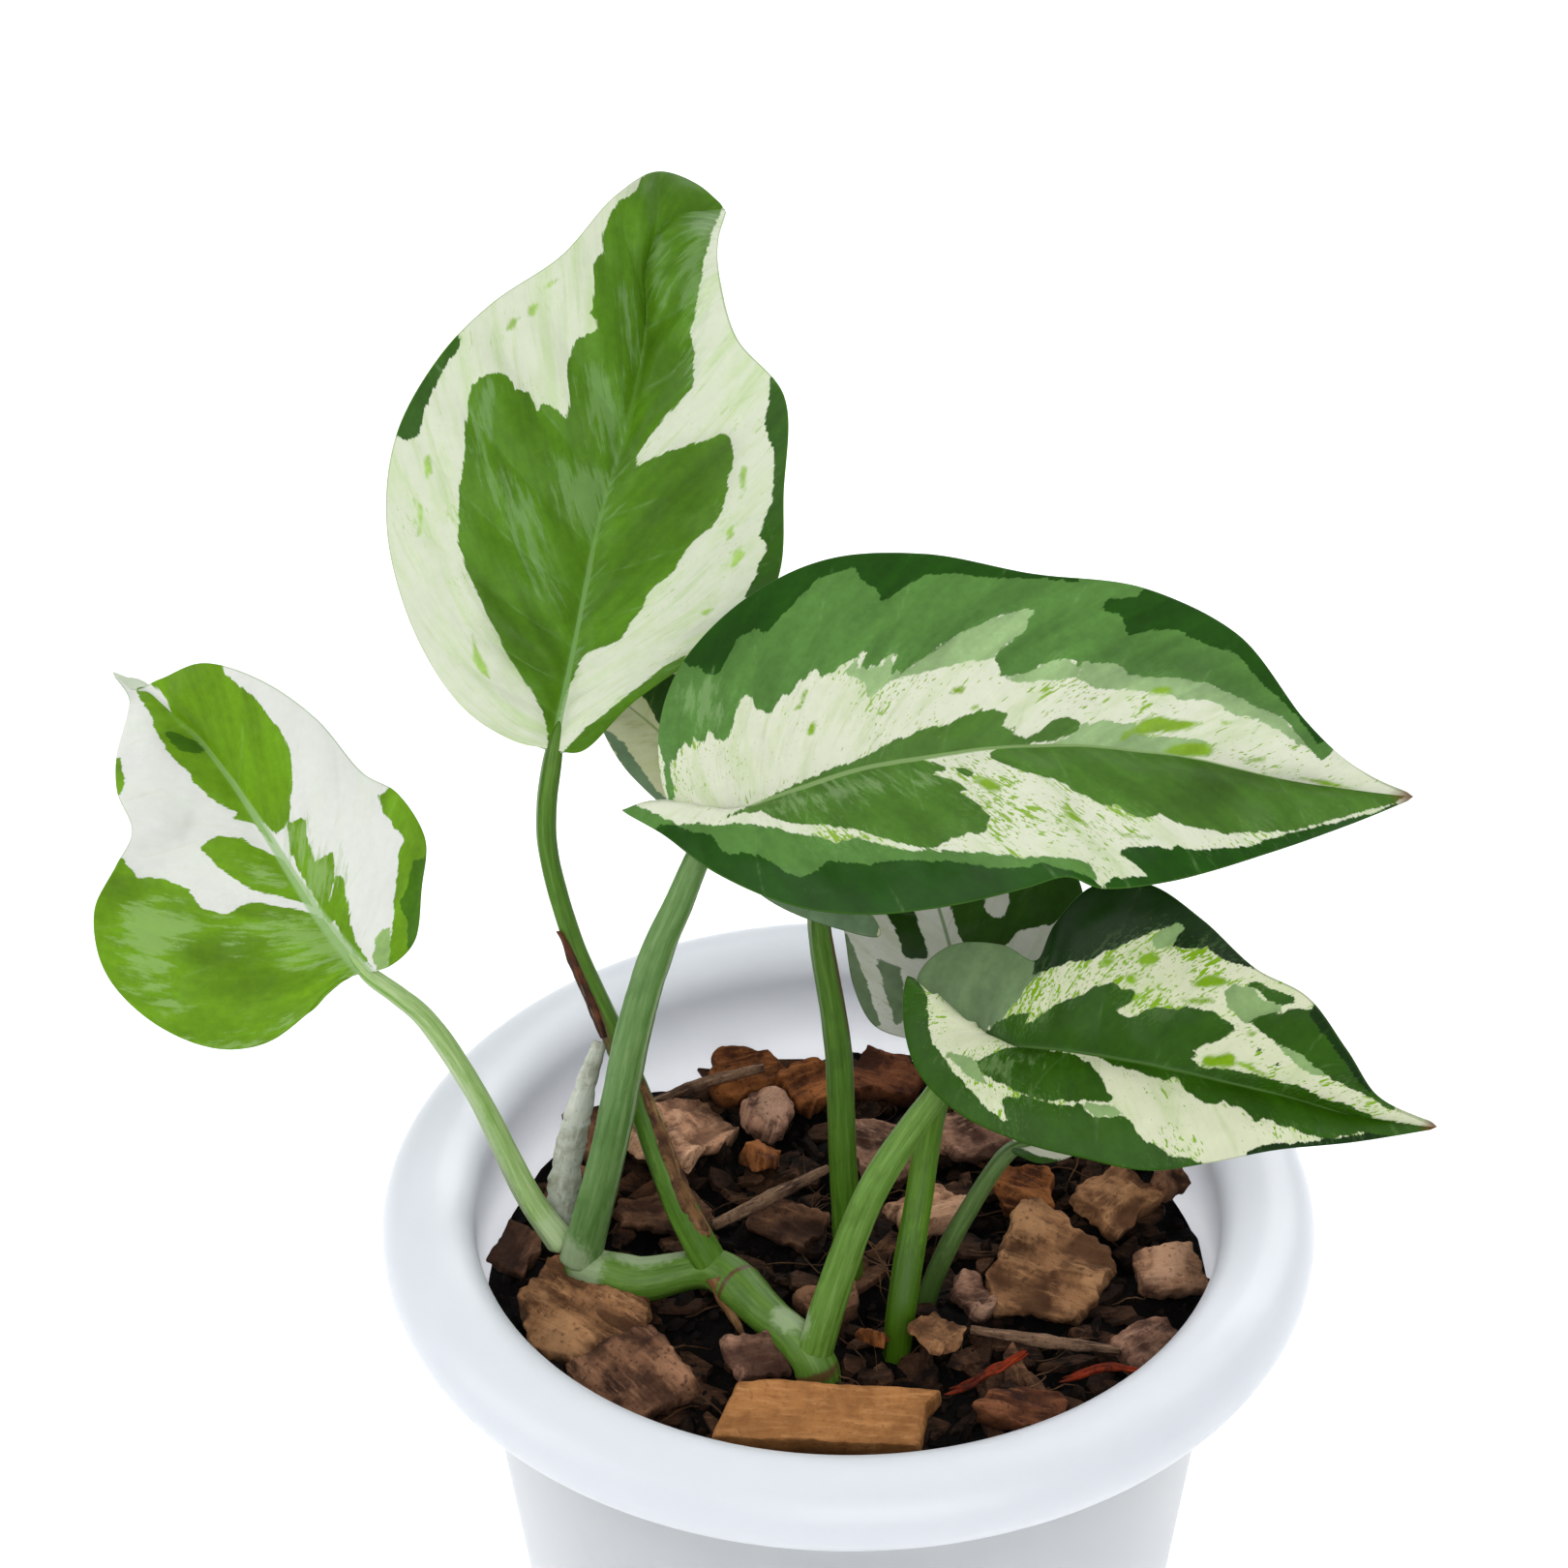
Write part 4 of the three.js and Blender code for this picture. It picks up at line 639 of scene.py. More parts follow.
# How each blade bulges in its left and right half, how deep it is quilted between its side veins, how many
# of them it has, and the half width of its midrib at the joint
BLADE_FORM = {
    "leaf_tall": {"bulge": (0.8, 0.8), "quilt": 0.85, "veins": 12, "rib": 0.6},
    "leaf_front": {"bulge": (1.0, 1.6), "quilt": 0.36, "veins": 12, "rib": 0.55},
    "leaf_left": {"bulge": (0.8, 0.8), "quilt": 0.3, "veins": 8, "rib": 1.5},
    "leaf_low": {"bulge": (0.4, 1.2), "quilt": 0.24, "veins": 9, "rib": 0.5},
    "leaf_under": {"bulge": (0.5, 0.5), "quilt": 0.15, "veins": 8, "rib": 0.5},
    "leaf_back": {"bulge": (0.6, 0.6), "quilt": 0.15, "veins": 7, "rib": 0.4},
    "leaf_small": {"bulge": (0.3, 0.3), "quilt": 0.08, "veins": 5, "rib": 0.3},
}
# Shares of the midrib between which its pale line fades
LINE_FADE = {"leaf_tall": (0.2, 0.55), "leaf_left": (0.4, 0.9)}
USUAL_LINE_FADE = (0.6, 1.1)
BROWN_TIPPED = ("leaf_front", "leaf_low")
SMALL_LEAF_SHARE = 0.55  # of the CAD's small leaf, because the leaf over it hides nearly all of it
VEIN_LEAN = 1.0  # how much more the drawing of the side veins leans to the tip than the rows of the sheet
POINT_SPACING = 0.38  # millimetres between the points of a sheet
ROW_LIMITS = (60, 230)
COLUMN_LIMITS = (16, 70)  # for each half of a sheet
RIM_POINTS = 7
VALLEY_DEPTH = 0.45
VALLEY_WIDTH = 1.6
UNDER_RIB = 0.75  # height and half width at the joint
UNEVEN_VEINS = 0.35  # of the space between two side veins


def camera_axes():
    """The camera's right, up and forward directions: pitched down about X, then rolled about forward."""
    forward = np.array([0, math.cos(CAMERA_DOWN), -math.sin(CAMERA_DOWN)])
    up = np.array([0, math.sin(CAMERA_DOWN), math.cos(CAMERA_DOWN)])
    right = np.array([1, 0, 0])
    cos, sin = math.cos(CAMERA_ROLL), math.sin(CAMERA_ROLL)
    return cos * right - sin * up, sin * right + cos * up, forward


def frame_pixels(points):
    """Where points in millimetres are in the camera's frame, in pixels, and how many pixels a millimetre
    takes there: the usual pinhole projection."""
    right, up, forward = camera_axes()
    offset = points - CAMERA_PLACE
    depth = offset @ forward
    middle = FRAME_PIXELS / 2
    across = middle + FOCAL_PIXELS * (offset @ right) / depth
    down = middle - FOCAL_PIXELS * (offset @ up) / depth
    return np.stack([across, down], axis=-1), FOCAL_PIXELS / depth


def inside_distance(points, outline):
    """Distance of points from a closed outline, above 0 inside it. It is the least distance to a side, with
    its sign from how many sides lie to the right of the point."""
    a = np.array(outline, float).reshape(-1, 2)
    b = np.roll(a, -1, axis=0)
    p = points[:, None, :]
    side = b - a
    share = np.clip(((p - a) * side).sum(-1) / (side * side).sum(-1), 0, 1)
    least = np.sqrt((((a + share[..., None] * side) - p) ** 2).sum(-1).min(1))
    crosses = (a[:, 1] > p[..., 1]) != (b[:, 1] > p[..., 1])
    rise = np.where(side[:, 1] == 0, 1, side[:, 1])
    to_right = p[..., 0] < a[:, 0] + (p[..., 1] - a[:, 1]) * side[:, 0] / rise
    inside = (crosses & to_right).sum(1) % 2 == 1
    return np.where(inside, least, -least)


def tone_fields(name, points, halves):
    """For each tone, how far a point is inside its area, in millimetres. The ground is cream. A later patch
    takes its area from the other tones: it joins its own by the maximum, and cuts the others by the
    minimum."""
    pixels, per_mm = frame_pixels(points)
    hard = {tone: np.full(len(points), -FAR) for tone in TONES}
    hard["cream"] *= -1
    soft = {tone: np.full(len(points), -FAR) for tone in SOFT_TONES}
    outlines = [(tone, half, outline) for tone, half, *several in PATCHES[name] for outline in several]
    for tone, half, outline in outlines:
        corners = np.array(outline, float).reshape(-1, 2)
        reach = PATCH_REACH * per_mm.max()
        near = np.all((pixels > corners.min(0) - reach) & (pixels < corners.max(0) + reach), axis=1)
        if half != "both":
            near &= (halves <= 0) if half == "left" else (halves >= 0)
        value = np.full(len(points), -FAR)
        value[near] = inside_distance(pixels[near], corners) / per_mm[near]
        if tone in soft:
            soft[tone] = np.maximum(soft[tone], value)
            continue
        joined = np.maximum(hard[tone], value)
        for other in hard:
            hard[other] = np.minimum(hard[other], -value)
        hard[tone] = joined
    return {**hard, **soft}


def leaf_axes(leaf):
    """The leaf's own x, y and z directions as rows: pointing, left and facing, square to each other."""
    facing = unit(np.array(leaf["facing"], float))
    pointing = np.array(leaf["pointing"], float)
    pointing = unit(pointing - facing * (pointing @ facing))
    return np.stack([pointing, np.cross(facing, pointing), facing])


def leaf_curves(leaf):
    """The midrib and the left and the right margin, from the joint at the origin to the midrib's tip."""
    joint, tip = (0, 0, 0), leaf["midrib"][-1]
    return (joint, *leaf["midrib"]), (joint, *leaf["left"], tip), (joint, *leaf["right"], tip)


def blade(name):
    """A leaf: a sheet ruled from the midrib to each margin. The rule to share u of a margin leaves the
    midrib at share u to the power RIB_LEAN, and s goes from -1 at the left margin over 0 to 1 at the right.
    Along its normal it gets a bulge 4|s|(1-|s|), a valley and a low ridge along the midrib, both bell
    curves, quilting |sin| between side veins, and slow waves of noise. Its two faces are half a thickness
    off it, the lower one with a rib under the midrib, and a half circle joins them along the margin."""
    leaf, form = LEAVES[name], BLADE_FORM[name]
    joint, axes = np.array(leaf["joint"]), leaf_axes(leaf)
    midrib, *sides = leaf_curves(leaf)
    length = np.linalg.norm(np.diff(curve_at(sides[0], np.linspace(0, 1, 200)), axis=0), axis=1).sum()
    rows = int(np.clip(length / POINT_SPACING, *ROW_LIMITS))
    u = (np.arange(1, rows) / rows)[:, None]
    middle = curve_at(midrib, u[:, 0] ** RIB_LEAN)
    margins = [curve_at(side, u[:, 0]) for side in sides]
    width = max(np.linalg.norm(margin - middle, axis=1).max() for margin in margins)
    columns = int(np.clip(width / POINT_SPACING, *COLUMN_LIMITS))
    s = np.linspace(-1, 1, 2 * columns + 1)[None, :]
    out = np.abs(s)
    edge = np.where((s < 0)[..., None], margins[0][:, None], margins[1][:, None])
    span = edge - middle[:, None]
    flat = middle[:, None] + out[..., None] * span
    grid = flat.shape[:2]
    reach = np.linalg.norm(span, axis=-1)
    from_rib = out * reach

    def normals(surface):
        return unit(np.cross(np.gradient(surface, axis=0), -np.gradient(surface, axis=1)))

    ends = np.minimum(u, 1 - u)
    calm = smoothstep(0, 0.12, ends) * smoothstep(0, 6, reach)
    bulge = np.where(s < 0, form["bulge"][0], form["bulge"][1]) * 4 * out * (1 - out)
    along_half = np.stack(np.broadcast_arrays(u * 7, np.sign(s), 0 * u), axis=-1)
    uneven = UNEVEN_VEINS * noise(along_half, 1.0, seed=4)
    vein_phase = u * form["veins"] + np.where(s < 0, 0, 0.5) + uneven - 0.9 * out ** 2 * (1 - u)
    between = np.abs(np.sin(np.pi * vein_phase))
    quilt = form["quilt"] * (0.5 + 1.1 * noise(flat, 10, seed=8)) * (between ** 1.3 - 0.5)
    quilt *= smoothstep(0, 0.2, out)
    quilt *= 1 - smoothstep(0.7, 1, out)
    quilt *= smoothstep(0.04, 0.3, u)
    waves = noises(flat, (0.45, 8, len(name)), (0.24, 3.6, 3), (0.06, 1.5, 6))
    waves *= 1 - 0.7 * smoothstep(0.75, 1, out)
    rib_width = form["rib"] * (1 - 0.85 * u ** 0.6) + 0.08
    valley = -VALLEY_DEPTH * (1 - 0.7 * u) * bell(from_rib, VALLEY_WIDTH)
    ridge = 0.3 * rib_width * bell(from_rib, rib_width)
    lift = bulge * calm + (quilt + waves + (valley + ridge)) * calm
    sheet = flat + normals(flat) * lift[..., None]

    normal = normals(sheet)
    half = np.broadcast_to(BLADE_THICKNESS / 2 * smoothstep(0, 0.01, ends) + 0.02, grid)[..., None]
    under_rib = UNDER_RIB * bell(from_rib, UNDER_RIB) * (1 - 0.6 * u) * smoothstep(0, 0.02, ends)
    upper = sheet + normal * half
    lower = sheet - normal * (half + under_rib[..., None])

    turn = np.linspace(0, np.pi, RIM_POINTS + 2)[1:-1]
    rims = []
    for side, swing in ((-1, turn), (0, turn[::-1])):
        outward = unit(span[:, side])
        outward = unit(outward - normal[:, side] * (outward * normal[:, side]).sum(-1, keepdims=True))
        rims.append(sheet[:, side, None] + half[:, side, None] * (
            np.sin(swing)[:, None] * outward[:, None] + np.cos(swing)[:, None] * normal[:, side, None]))
    right_rim, left_rim = rims
    ring = np.concatenate([upper, right_rim, lower[:, ::-1], left_rim], axis=1)
    part = np.repeat(np.arange(4), (grid[1], RIM_POINTS, grid[1], RIM_POINTS))

    def ringed(value):
        """A value of the sheet carried to the ring, with the margin's value on the rims."""
        value = np.broadcast_to(value, grid)
        right = np.repeat(value[:, -1:], RIM_POINTS, axis=1)
        left = np.repeat(value[:, :1], RIM_POINTS, axis=1)
        return np.concatenate([value, right, value[:, ::-1], left], axis=1)

    size = SMALL_LEAF_SHARE if name == "leaf_small" else 1
    seen = (size * upper @ axes + joint).reshape(-1, 3)
    fields = tone_fields(name, seen, np.broadcast_to(s, grid).ravel())
    values = {tone: ringed(field.reshape(grid)) for tone, field in fields.items()}
    values["side_vein"] = ringed(np.abs(vein_phase - np.round(vein_phase)) / form["veins"] * length)
    values["rib"] = ringed(from_rib / rib_width)
    values["near_joint"] = ringed(1 - smoothstep(*LINE_FADE.get(name, USUAL_LINE_FADE), u ** RIB_LEAN))
    values["tip"] = ringed(smoothstep(0.97, 0.995, u) * (name in BROWN_TIPPED))
    values["rim"] = part % 2
    values["under"] = part == 2
    uv = np.stack([ringed(u * length - VEIN_LEAN * from_rib), ringed(s * reach)], axis=-1) * MM
    uv = np.concatenate([uv, uv[:, :1]], axis=1)
    tip = joint + size * np.array(midrib[-1]) @ axes
    placed = size * ring @ axes + joint
    return show("blade_" + name.split("_")[1], skin(placed * MM, joint * MM, tip * MM, uv, values))


# Leaf colours are written as they look under the lights, and times this they are what the leaf gives back
LEAF_LEVEL = 0.62


def make_leaf_group():
    """Colour of a leaf. Each tone's field gets its own noise, drawn out along the side veins, and the tone
    whose field is highest shows. Flecks, mottling, veins, the rim and the paler underside come over it."""
    kinds = {tone: ("Color", (0.5, 0.5, 0.5, 1)) for tone in (*TONES, "line")}
    kinds |= {key: ("Float", 0.5) for key in ("flecks", "wobble", "painted_sheen", "tint")}
    results = {"color": "Color", "height": "Float", "rough": "Float"}
    tree, n, given, out = new_group("leaf_paint", kinds, results)
    ribs = n.add("ShaderNodeUVMap", uv_map="surface").outputs[0]
    place = n.add("ShaderNodeTexCoord").outputs["Object"]
    shifts = []
    for offset in (0, 7):
        inputs = {"Vector": ribs, "Scale": (620, 230, 1), "Location": (offset, 0, 0)}
        drawn = n.add("ShaderNodeMapping", inputs).outputs[0]
        inputs = {"Vector": drawn, "Scale": 1.0, "Detail": 6.0, "Roughness": 0.78}
        color = n.add("ShaderNodeTexNoise", inputs).outputs["Color"]
        shifts += list(n.add("ShaderNodeSeparateColor", {"Color": color}).outputs)[:3]

    # The patches, and how much of the ground is still cream
    best, color, creamy = None, None, 1.0
    for tone, shift in zip(TONES, shifts):
        moved = {0: shift, 1: given["wobble"], 2: n.attribute(tone)}
        field = n.add("ShaderNodeMath", moved, operation="MULTIPLY_ADD").outputs[0]
        if color is None:
            best, color = field, given[tone]
            continue
        soft = 0.5 if tone == "bright" else 0.13
        mask = n.span(n.math("SUBTRACT", field, best), -soft, soft)
        color = n.blend(mask, color, given[tone])
        creamy = n.times(creamy, n.math("SUBTRACT", 1.0, mask))
        best = n.math("MAXIMUM", best, field)

    # Flecks, more of them in clusters and near the border of the cream
    streaks = n.strokes(ribs, 1100, 420)
    specks = n.strokes(ribs, 2300, 1700, 2.0)
    clusters = n.noise(place, 130, 3.0, 0.6)
    cream = n.attribute("cream")
    border = n.span(n.math("ABSOLUTE", cream), 2.5, 0.0, 0.0, 0.06, "LINEAR")
    plenty = n.span(given["flecks"], 0.0, 1.2, -0.06, 0.06, "LINEAR")
    chance = n.plus(n.times(clusters, 0.6), border, plenty)
    fleck = n.math("MAXIMUM", n.span(n.plus(streaks, chance), 1.0, 1.06),
                   n.span(n.plus(specks, chance), 1.0, 1.05))
    color = n.blend(n.times(fleck, creamy, given["flecks"]), color, given["bright"])
    near_cream = n.times(n.span(cream, -3.0, -0.3), n.math("SUBTRACT", 1.0, creamy))
    color = n.blend(n.times(fleck, near_cream, 0.12), color, given["sage"])

    # Green tint in the cream, lighter and darker places by noise, of which the cream has less, and the
    # painted shade
    patchy = n.strokes(ribs, 170, 90)
    mottle = n.noise(place, 900, 5.0, 0.7)
    color = n.blend(n.times(n.span(patchy, 0.46, 0.72), creamy, given["tint"]), color, given["bright"])
    tinted = n.strokes(ribs, 480, 110, 4.0, 0.65)
    color = n.blend(n.times(n.span(tinted, 0.5, 0.72), creamy, n.times(given["tint"], 0.8)),
                    color, given["bright"])
    broad = n.span(patchy, 0.3, 0.72, 0.74, 1.22, "LINEAR")
    broad = n.add("ShaderNodeMix", {0: n.times(creamy, 0.8), 2: broad, 3: 1.0}).outputs[0]
    fine = n.span(mottle, 0.3, 0.7, 0.88, 1.1, "LINEAR")
    fine = n.add("ShaderNodeMix", {0: n.times(creamy, 0.7), 2: fine, 3: 1.0}).outputs[0]
    # Painted shade: darker, down to 0.72, within the soft shade field
    painted_shade = n.span(n.span(n.attribute("painted_shade"), -2.2, 2.2), 0, 1, 1.0, 0.72, "LINEAR")
    color = n.level(color, n.times(broad, fine, painted_shade))
    # Painted sheen: lighter streaks of the gloss, blended towards sage within its soft field and torn noise
    torn = n.times(n.math("SUBTRACT", n.strokes(ribs, 600, 250, 5.0, 0.7), 0.53), 13.0)
    painted_sheen = n.span(n.plus(n.attribute("painted_sheen"), torn), -0.6, 1.6)
    color = n.blend(n.times(painted_sheen, given["painted_sheen"]), color, given["sage"])

    # Veins, the midrib's pale line, the underside, the rim and the dry tip
    vein = n.times(n.span(n.attribute("side_vein"), 0.0, 0.4, 0.2, 0.0), n.span(patchy, 0.45, 0.65))
    color = n.blend(vein, color, given["sage"])
    line = n.times(n.span(n.attribute("rib"), 0.6, 1.2, 0.8, 0.0), n.attribute("near_joint"))
    color = n.blend(line, color, given["line"])
    color = n.blend(n.times(n.attribute("under"), 0.35), color, given["sage"])
    color = n.blend(n.times(n.attribute("rim"), 0.4), color, given["green"])
    color = n.blend(n.times(n.attribute("tip"), 0.85), color, linear(104, 62, 24, LEAF_LEVEL))
    n.feed(out["color"], color)
    n.feed(out["height"], n.plus(n.times(mottle, 0.5), n.times(streaks, 0.5)))
    n.feed(out["rough"], n.span(n.attribute("under"), 0, 1, 0.36, 0.6, "LINEAR"))
    return tree


# The tones of each leaf as sRGB, which differ with the leaf's age and with how the light falls on it. They
# are in the order of TONES, with the midrib's line last
LEAF_COLORS = {
    "leaf_tall": ((214, 221, 196), (150, 182, 130), (96, 142, 74), (82, 128, 22), (48, 90, 12),
                  (160, 196, 100), (116, 158, 84)),
    "leaf_front": ((218, 222, 198), (146, 176, 120), (84, 128, 58), (74, 115, 38), (30, 74, 6),
                   (130, 170, 40), (136, 164, 104)),
    "leaf_left": ((222, 224, 217), (146, 180, 106), (108, 142, 70), (104, 150, 20), (64, 110, 6),
                  (160, 196, 100), (150, 184, 120)),
    # Its grey is the painted sheen of leaf_low's far lobe
    "leaf_low": ((214, 218, 186), (132, 162, 104), (110, 134, 94), (44, 84, 6), (14, 46, 0),
                 (124, 168, 10), (70, 106, 40)),
    "leaf_under": ((196, 198, 160), (150, 160, 100), (104, 130, 96), (70, 100, 34), (42, 72, 24),
                   (160, 180, 90), (130, 150, 90)),
    "leaf_back": ((206, 206, 196), (130, 150, 110), (104, 124, 92), (46, 80, 22), (30, 58, 10),
                  (120, 150, 60), (100, 130, 80)),
    "leaf_small": ((200, 200, 180), (130, 150, 110), (104, 124, 92), (50, 84, 26), (30, 58, 12),
                   (120, 150, 60), (90, 120, 70)),
}
# How strong the flecks, the painted sheen and the tint of the cream are
LEAF_STRENGTHS = {"leaf_tall": (0.6, 0.28, 0.42), "leaf_front": (0.95, 0.4, 0.3),
                  "leaf_left": (0.15, 0.6, 0.08), "leaf_low": (1.15, 0.4, 0.25)}
USUAL_STRENGTHS = (0.3, 0.4, 0.3)


def leaf_material(name, tree):
    material, nodes, shader = new_material(name, 0.36)
    shader["IOR"].default_value = 1.18
    tones = [linear(*color, LEAF_LEVEL) for color in LEAF_COLORS[name]]
    strengths = zip(("flecks", "painted_sheen", "tint"), LEAF_STRENGTHS.get(name, USUAL_STRENGTHS))
    paint = nodes.group(tree, {**dict(zip((*TONES, "line"), tones)), **dict(strengths), "wobble": 2.2})
    nodes.feed(shader["Base Color"], paint["color"])
    nodes.feed(shader["Roughness"], paint["rough"])
    nodes.feed(shader["Normal"], bumped(nodes, paint["height"], 0.35, 0.00006))
    return material


def make_leaves():
    tree = make_leaf_group()
    for name in LEAVES:
        finished(blade(name), leaf_material(name, tree), "leaf", name)


# Pot, as in the CAD source
POT_HEIGHT = 88
LIP_RADIUS = 55
LIP_HALF_WIDTH = 5.5
LIP_HALF_HEIGHT = 4.4
BASE_RADIUS = 37.5
WALL = 2
EDGE = 1.5
SKIRT = 1.5
DRAIN_HOLES = 6
DRAIN_RADIUS = 2.5
DRAIN_CIRCLE = 24
MEDIUM_TOP = 73.5
POT_SECTORS = 256


def arc(center, radii, start, end, steps):
    """Points of an ellipse between two angles in degrees, as radius and height."""
    turn = np.radians(np.linspace(start, end, steps))
    return np.stack([center[0] + radii[0] * np.cos(turn), center[1] + radii[1] * np.sin(turn)], axis=-1)


def turned_profile(profile, sectors):
    """Rings of a profile of radius and height turned about Z."""
    radius, height = profile[:, :1], profile[:, 1:]
    _, round_it = circle(sectors)
    rings = radius[..., None] * round_it
    rings[..., 2] = height
    return rings


def make_pot():
    """The pot's own wall, its rolled lip, which is open underneath, and holes cut through its base."""
    lip = (LIP_RADIUS - LIP_HALF_WIDTH, POT_HEIGHT - LIP_HALF_HEIGHT)
    inner = lip[0] - LIP_HALF_WIDTH
    skirt_radii = (LIP_HALF_WIDTH - SKIRT, LIP_HALF_HEIGHT - SKIRT)
    profile = np.vstack([
        np.linspace((0, 0), (BASE_RADIUS - EDGE, 0), 10)[1:],
        arc((BASE_RADIUS - EDGE, EDGE), (EDGE, EDGE), -80, -10, 6),
        np.linspace((BASE_RADIUS, EDGE), (inner + WALL, lip[1]), 24),
        arc(lip, skirt_radii, 150, -58, 26),
        arc(lip, (LIP_HALF_WIDTH, LIP_HALF_HEIGHT), -60, 180, 48),
        np.linspace((inner, MEDIUM_TOP), (BASE_RADIUS - WALL, WALL + EDGE), 18),
        arc((BASE_RADIUS - WALL - EDGE, WALL + EDGE), (EDGE, EDGE), -10, -80, 6),
        np.linspace((BASE_RADIUS - WALL - EDGE, WALL), (0, WALL), 10)[:-1],
    ])
    pot = show("white_pot", skin(turned_profile(profile, POT_SECTORS) * MM, (0, 0, 0), (0, 0, WALL * MM)))
    cutters = []
    for number in range(DRAIN_HOLES):
        turn = 2 * math.pi * number / DRAIN_HOLES
        hole = arc((0, 0), (DRAIN_RADIUS, DRAIN_RADIUS), 0, 360, 33)[:-1]
        center = (DRAIN_CIRCLE * math.cos(turn), DRAIN_CIRCLE * math.sin(turn))
        ends = (-2, 2 * WALL)
        rings = np.stack([np.column_stack([hole + center, np.full(len(hole), z)]) for z in ends])
        tips = [np.array([*center, z]) * MM for z in ends]
        cutters.append(show("hole", skin(rings * MM, *tips)))
    for cutter in cutters:
        cut = pot.modifiers.new("drain", "BOOLEAN")
        cut.object = cutter
        cut.solver = "EXACT"
    graph = bpy.context.evaluated_depsgraph_get()
    mesh = bpy.data.meshes.new_from_object(pot.evaluated_get(graph))
    pot.modifiers.clear()
    pot.data = mesh
    for cutter in cutters:
        bpy.data.objects.remove(cutter)
    finished(pot, plastic_material(), "pot_plastic", "pot")


def plastic_material():
    """Satin white plastic: faint waves of moulding, fine grain, and slightly greyer smudges."""
    material, n, shader = new_material("white_plastic")
    place = n.add("ShaderNodeTexCoord").outputs["Object"]
    cloud = n.noise(place, 22, 3.0)
    grain = n.noise(place, 2400, 2.0)
    smudge = n.span(n.noise(place, 60, 4.0, 0.6), 0.62, 0.8)
    color = n.blend(n.times(smudge, 0.25), linear(172, 176, 182), linear(157, 158, 162))
    height = n.plus(n.times(cloud, 3.0), n.times(grain, 0.15))
    n.feed(shader["Base Color"], color)
    n.feed(shader["Roughness"], n.span(cloud, 0.3, 0.7, 0.28, 0.4, "LINEAR"))
    n.feed(shader["Normal"], bumped(n, height, 0.2, 0.00008))
    shader["IOR"].default_value = 1.49
    shader["Subsurface Weight"].default_value = 1.0
    shader["Subsurface Radius"].default_value = (0.012, 0.0117, 0.012)
    shader["Subsurface Scale"].default_value = 1.0
    return material


# Growing medium and what lies on it
CRUMBS = 1500
SHARDS = 300
HAIRS = 90


def wall_at(z):
    """Radius of the pot's inner wall at a height."""
    top = LIP_RADIUS - 2 * LIP_HALF_WIDTH
    return np.interp(z, (WALL + EDGE, MEDIUM_TOP), (BASE_RADIUS - WALL, top))


def soil_lumps(x, y):
    """Lumps of the medium's top: noise of three sizes."""
    place = np.stack([x, y, np.zeros_like(x)], axis=-1)
    return noises(place, (0.9, 4.5, 5), (0.5, 1.8, 6), (0.2, 0.8, 7))


def soil_height(x, y):
    """Height of the medium's top: the CAD's gentle bumps with smaller lumps on them."""
    bump = 0.8 * (np.sin(0.31 * x + 1) * np.cos(0.27 * y) + 0.5 * np.sin(0.53 * x - 0.41 * y))
    return MEDIUM_TOP - 1.4 + bump + soil_lumps(x, y)


def bark_group():
    """Husk and bark: patches of a dark and a middle tone, light fibres along the piece's uv, a painted
    highlight on the ridges and painted shade in the hollows by its relief, and small pits. Tone makes a
    piece darker or lighter than the next, and painted shade makes all of them darker downwards, between the
    pieces."""
    kinds = {tone: ("Color", (0, 0, 0, 1)) for tone in ("dark", "middle", "light")}
    kinds["fibres"] = ("Float", 1.0)
    tree, n, given, out = new_group("bark_paint", kinds, {"color": "Color", "height": "Float"})
    place = n.add("ShaderNodeTexCoord").outputs["Object"]
    grain = n.add("ShaderNodeUVMap", uv_map="surface").outputs[0]
    fibre = n.strokes(grain, 260, 1500, 5.0, 0.65)
    patch = n.noise(place, 230, 5.0, 0.62)
    pits = n.noise(place, 1300, 3.0, 0.6)
    relief = n.attribute("relief")
    color = n.blend(n.span(patch, 0.34, 0.6), given["dark"], given["middle"])
    color = n.blend(n.times(n.span(fibre, 0.48, 0.72), given["fibres"]), color, given["light"])
    # Painted highlight on the ridges and painted shade in the hollows of the relief
    color = n.blend(n.span(relief, 0.15, 0.8, 0.0, 0.55), color, given["light"])
    color = n.blend(n.span(relief, 0.05, -0.6, 0.0, 0.85), color, given["dark"])
    color = n.blend(n.span(pits, 0.44, 0.3, 0.0, 0.7), color, given["dark"])
    color = n.blend(n.times(n.span(fibre, 0.44, 0.3), given["fibres"]), color, given["dark"])
    # Painted shade: darker downwards, towards the gaps between the pieces, times each piece's own tone
    high = n.add("ShaderNodeSeparateXYZ", {0: place}).outputs[2]
    painted_low_shade = n.span(high, (MEDIUM_TOP - 1) * MM, (MEDIUM_TOP + 3.5) * MM, 0.3, 1.0)
    color = n.level(color, n.times(n.span(n.attribute("tone"), -1, 1, 0.35, 1.65, "LINEAR"), painted_low_shade))
    n.feed(out["color"], color)
    n.feed(out["height"], n.plus(n.times(fibre, given["fibres"]), n.times(pits, 0.6), n.times(patch, 0.8)))
    return tree


def bark_material(name, tree, dark, middle, light, fibres=0.6, roughness=0.85, relief=0.0005):
    material, n, shader = new_material(name, roughness)
    shader["Specular IOR Level"].default_value = 0.12
    tones = {"dark": dark, "middle": middle, "light": light}
    paint = n.group(tree, {tone: linear(*color) for tone, color in tones.items()} | {"fibres": fibres})
    n.feed(shader["Base Color"], paint["color"])
    n.feed(shader["Normal"], bumped(n, paint["height"], 0.9, relief))
    return material


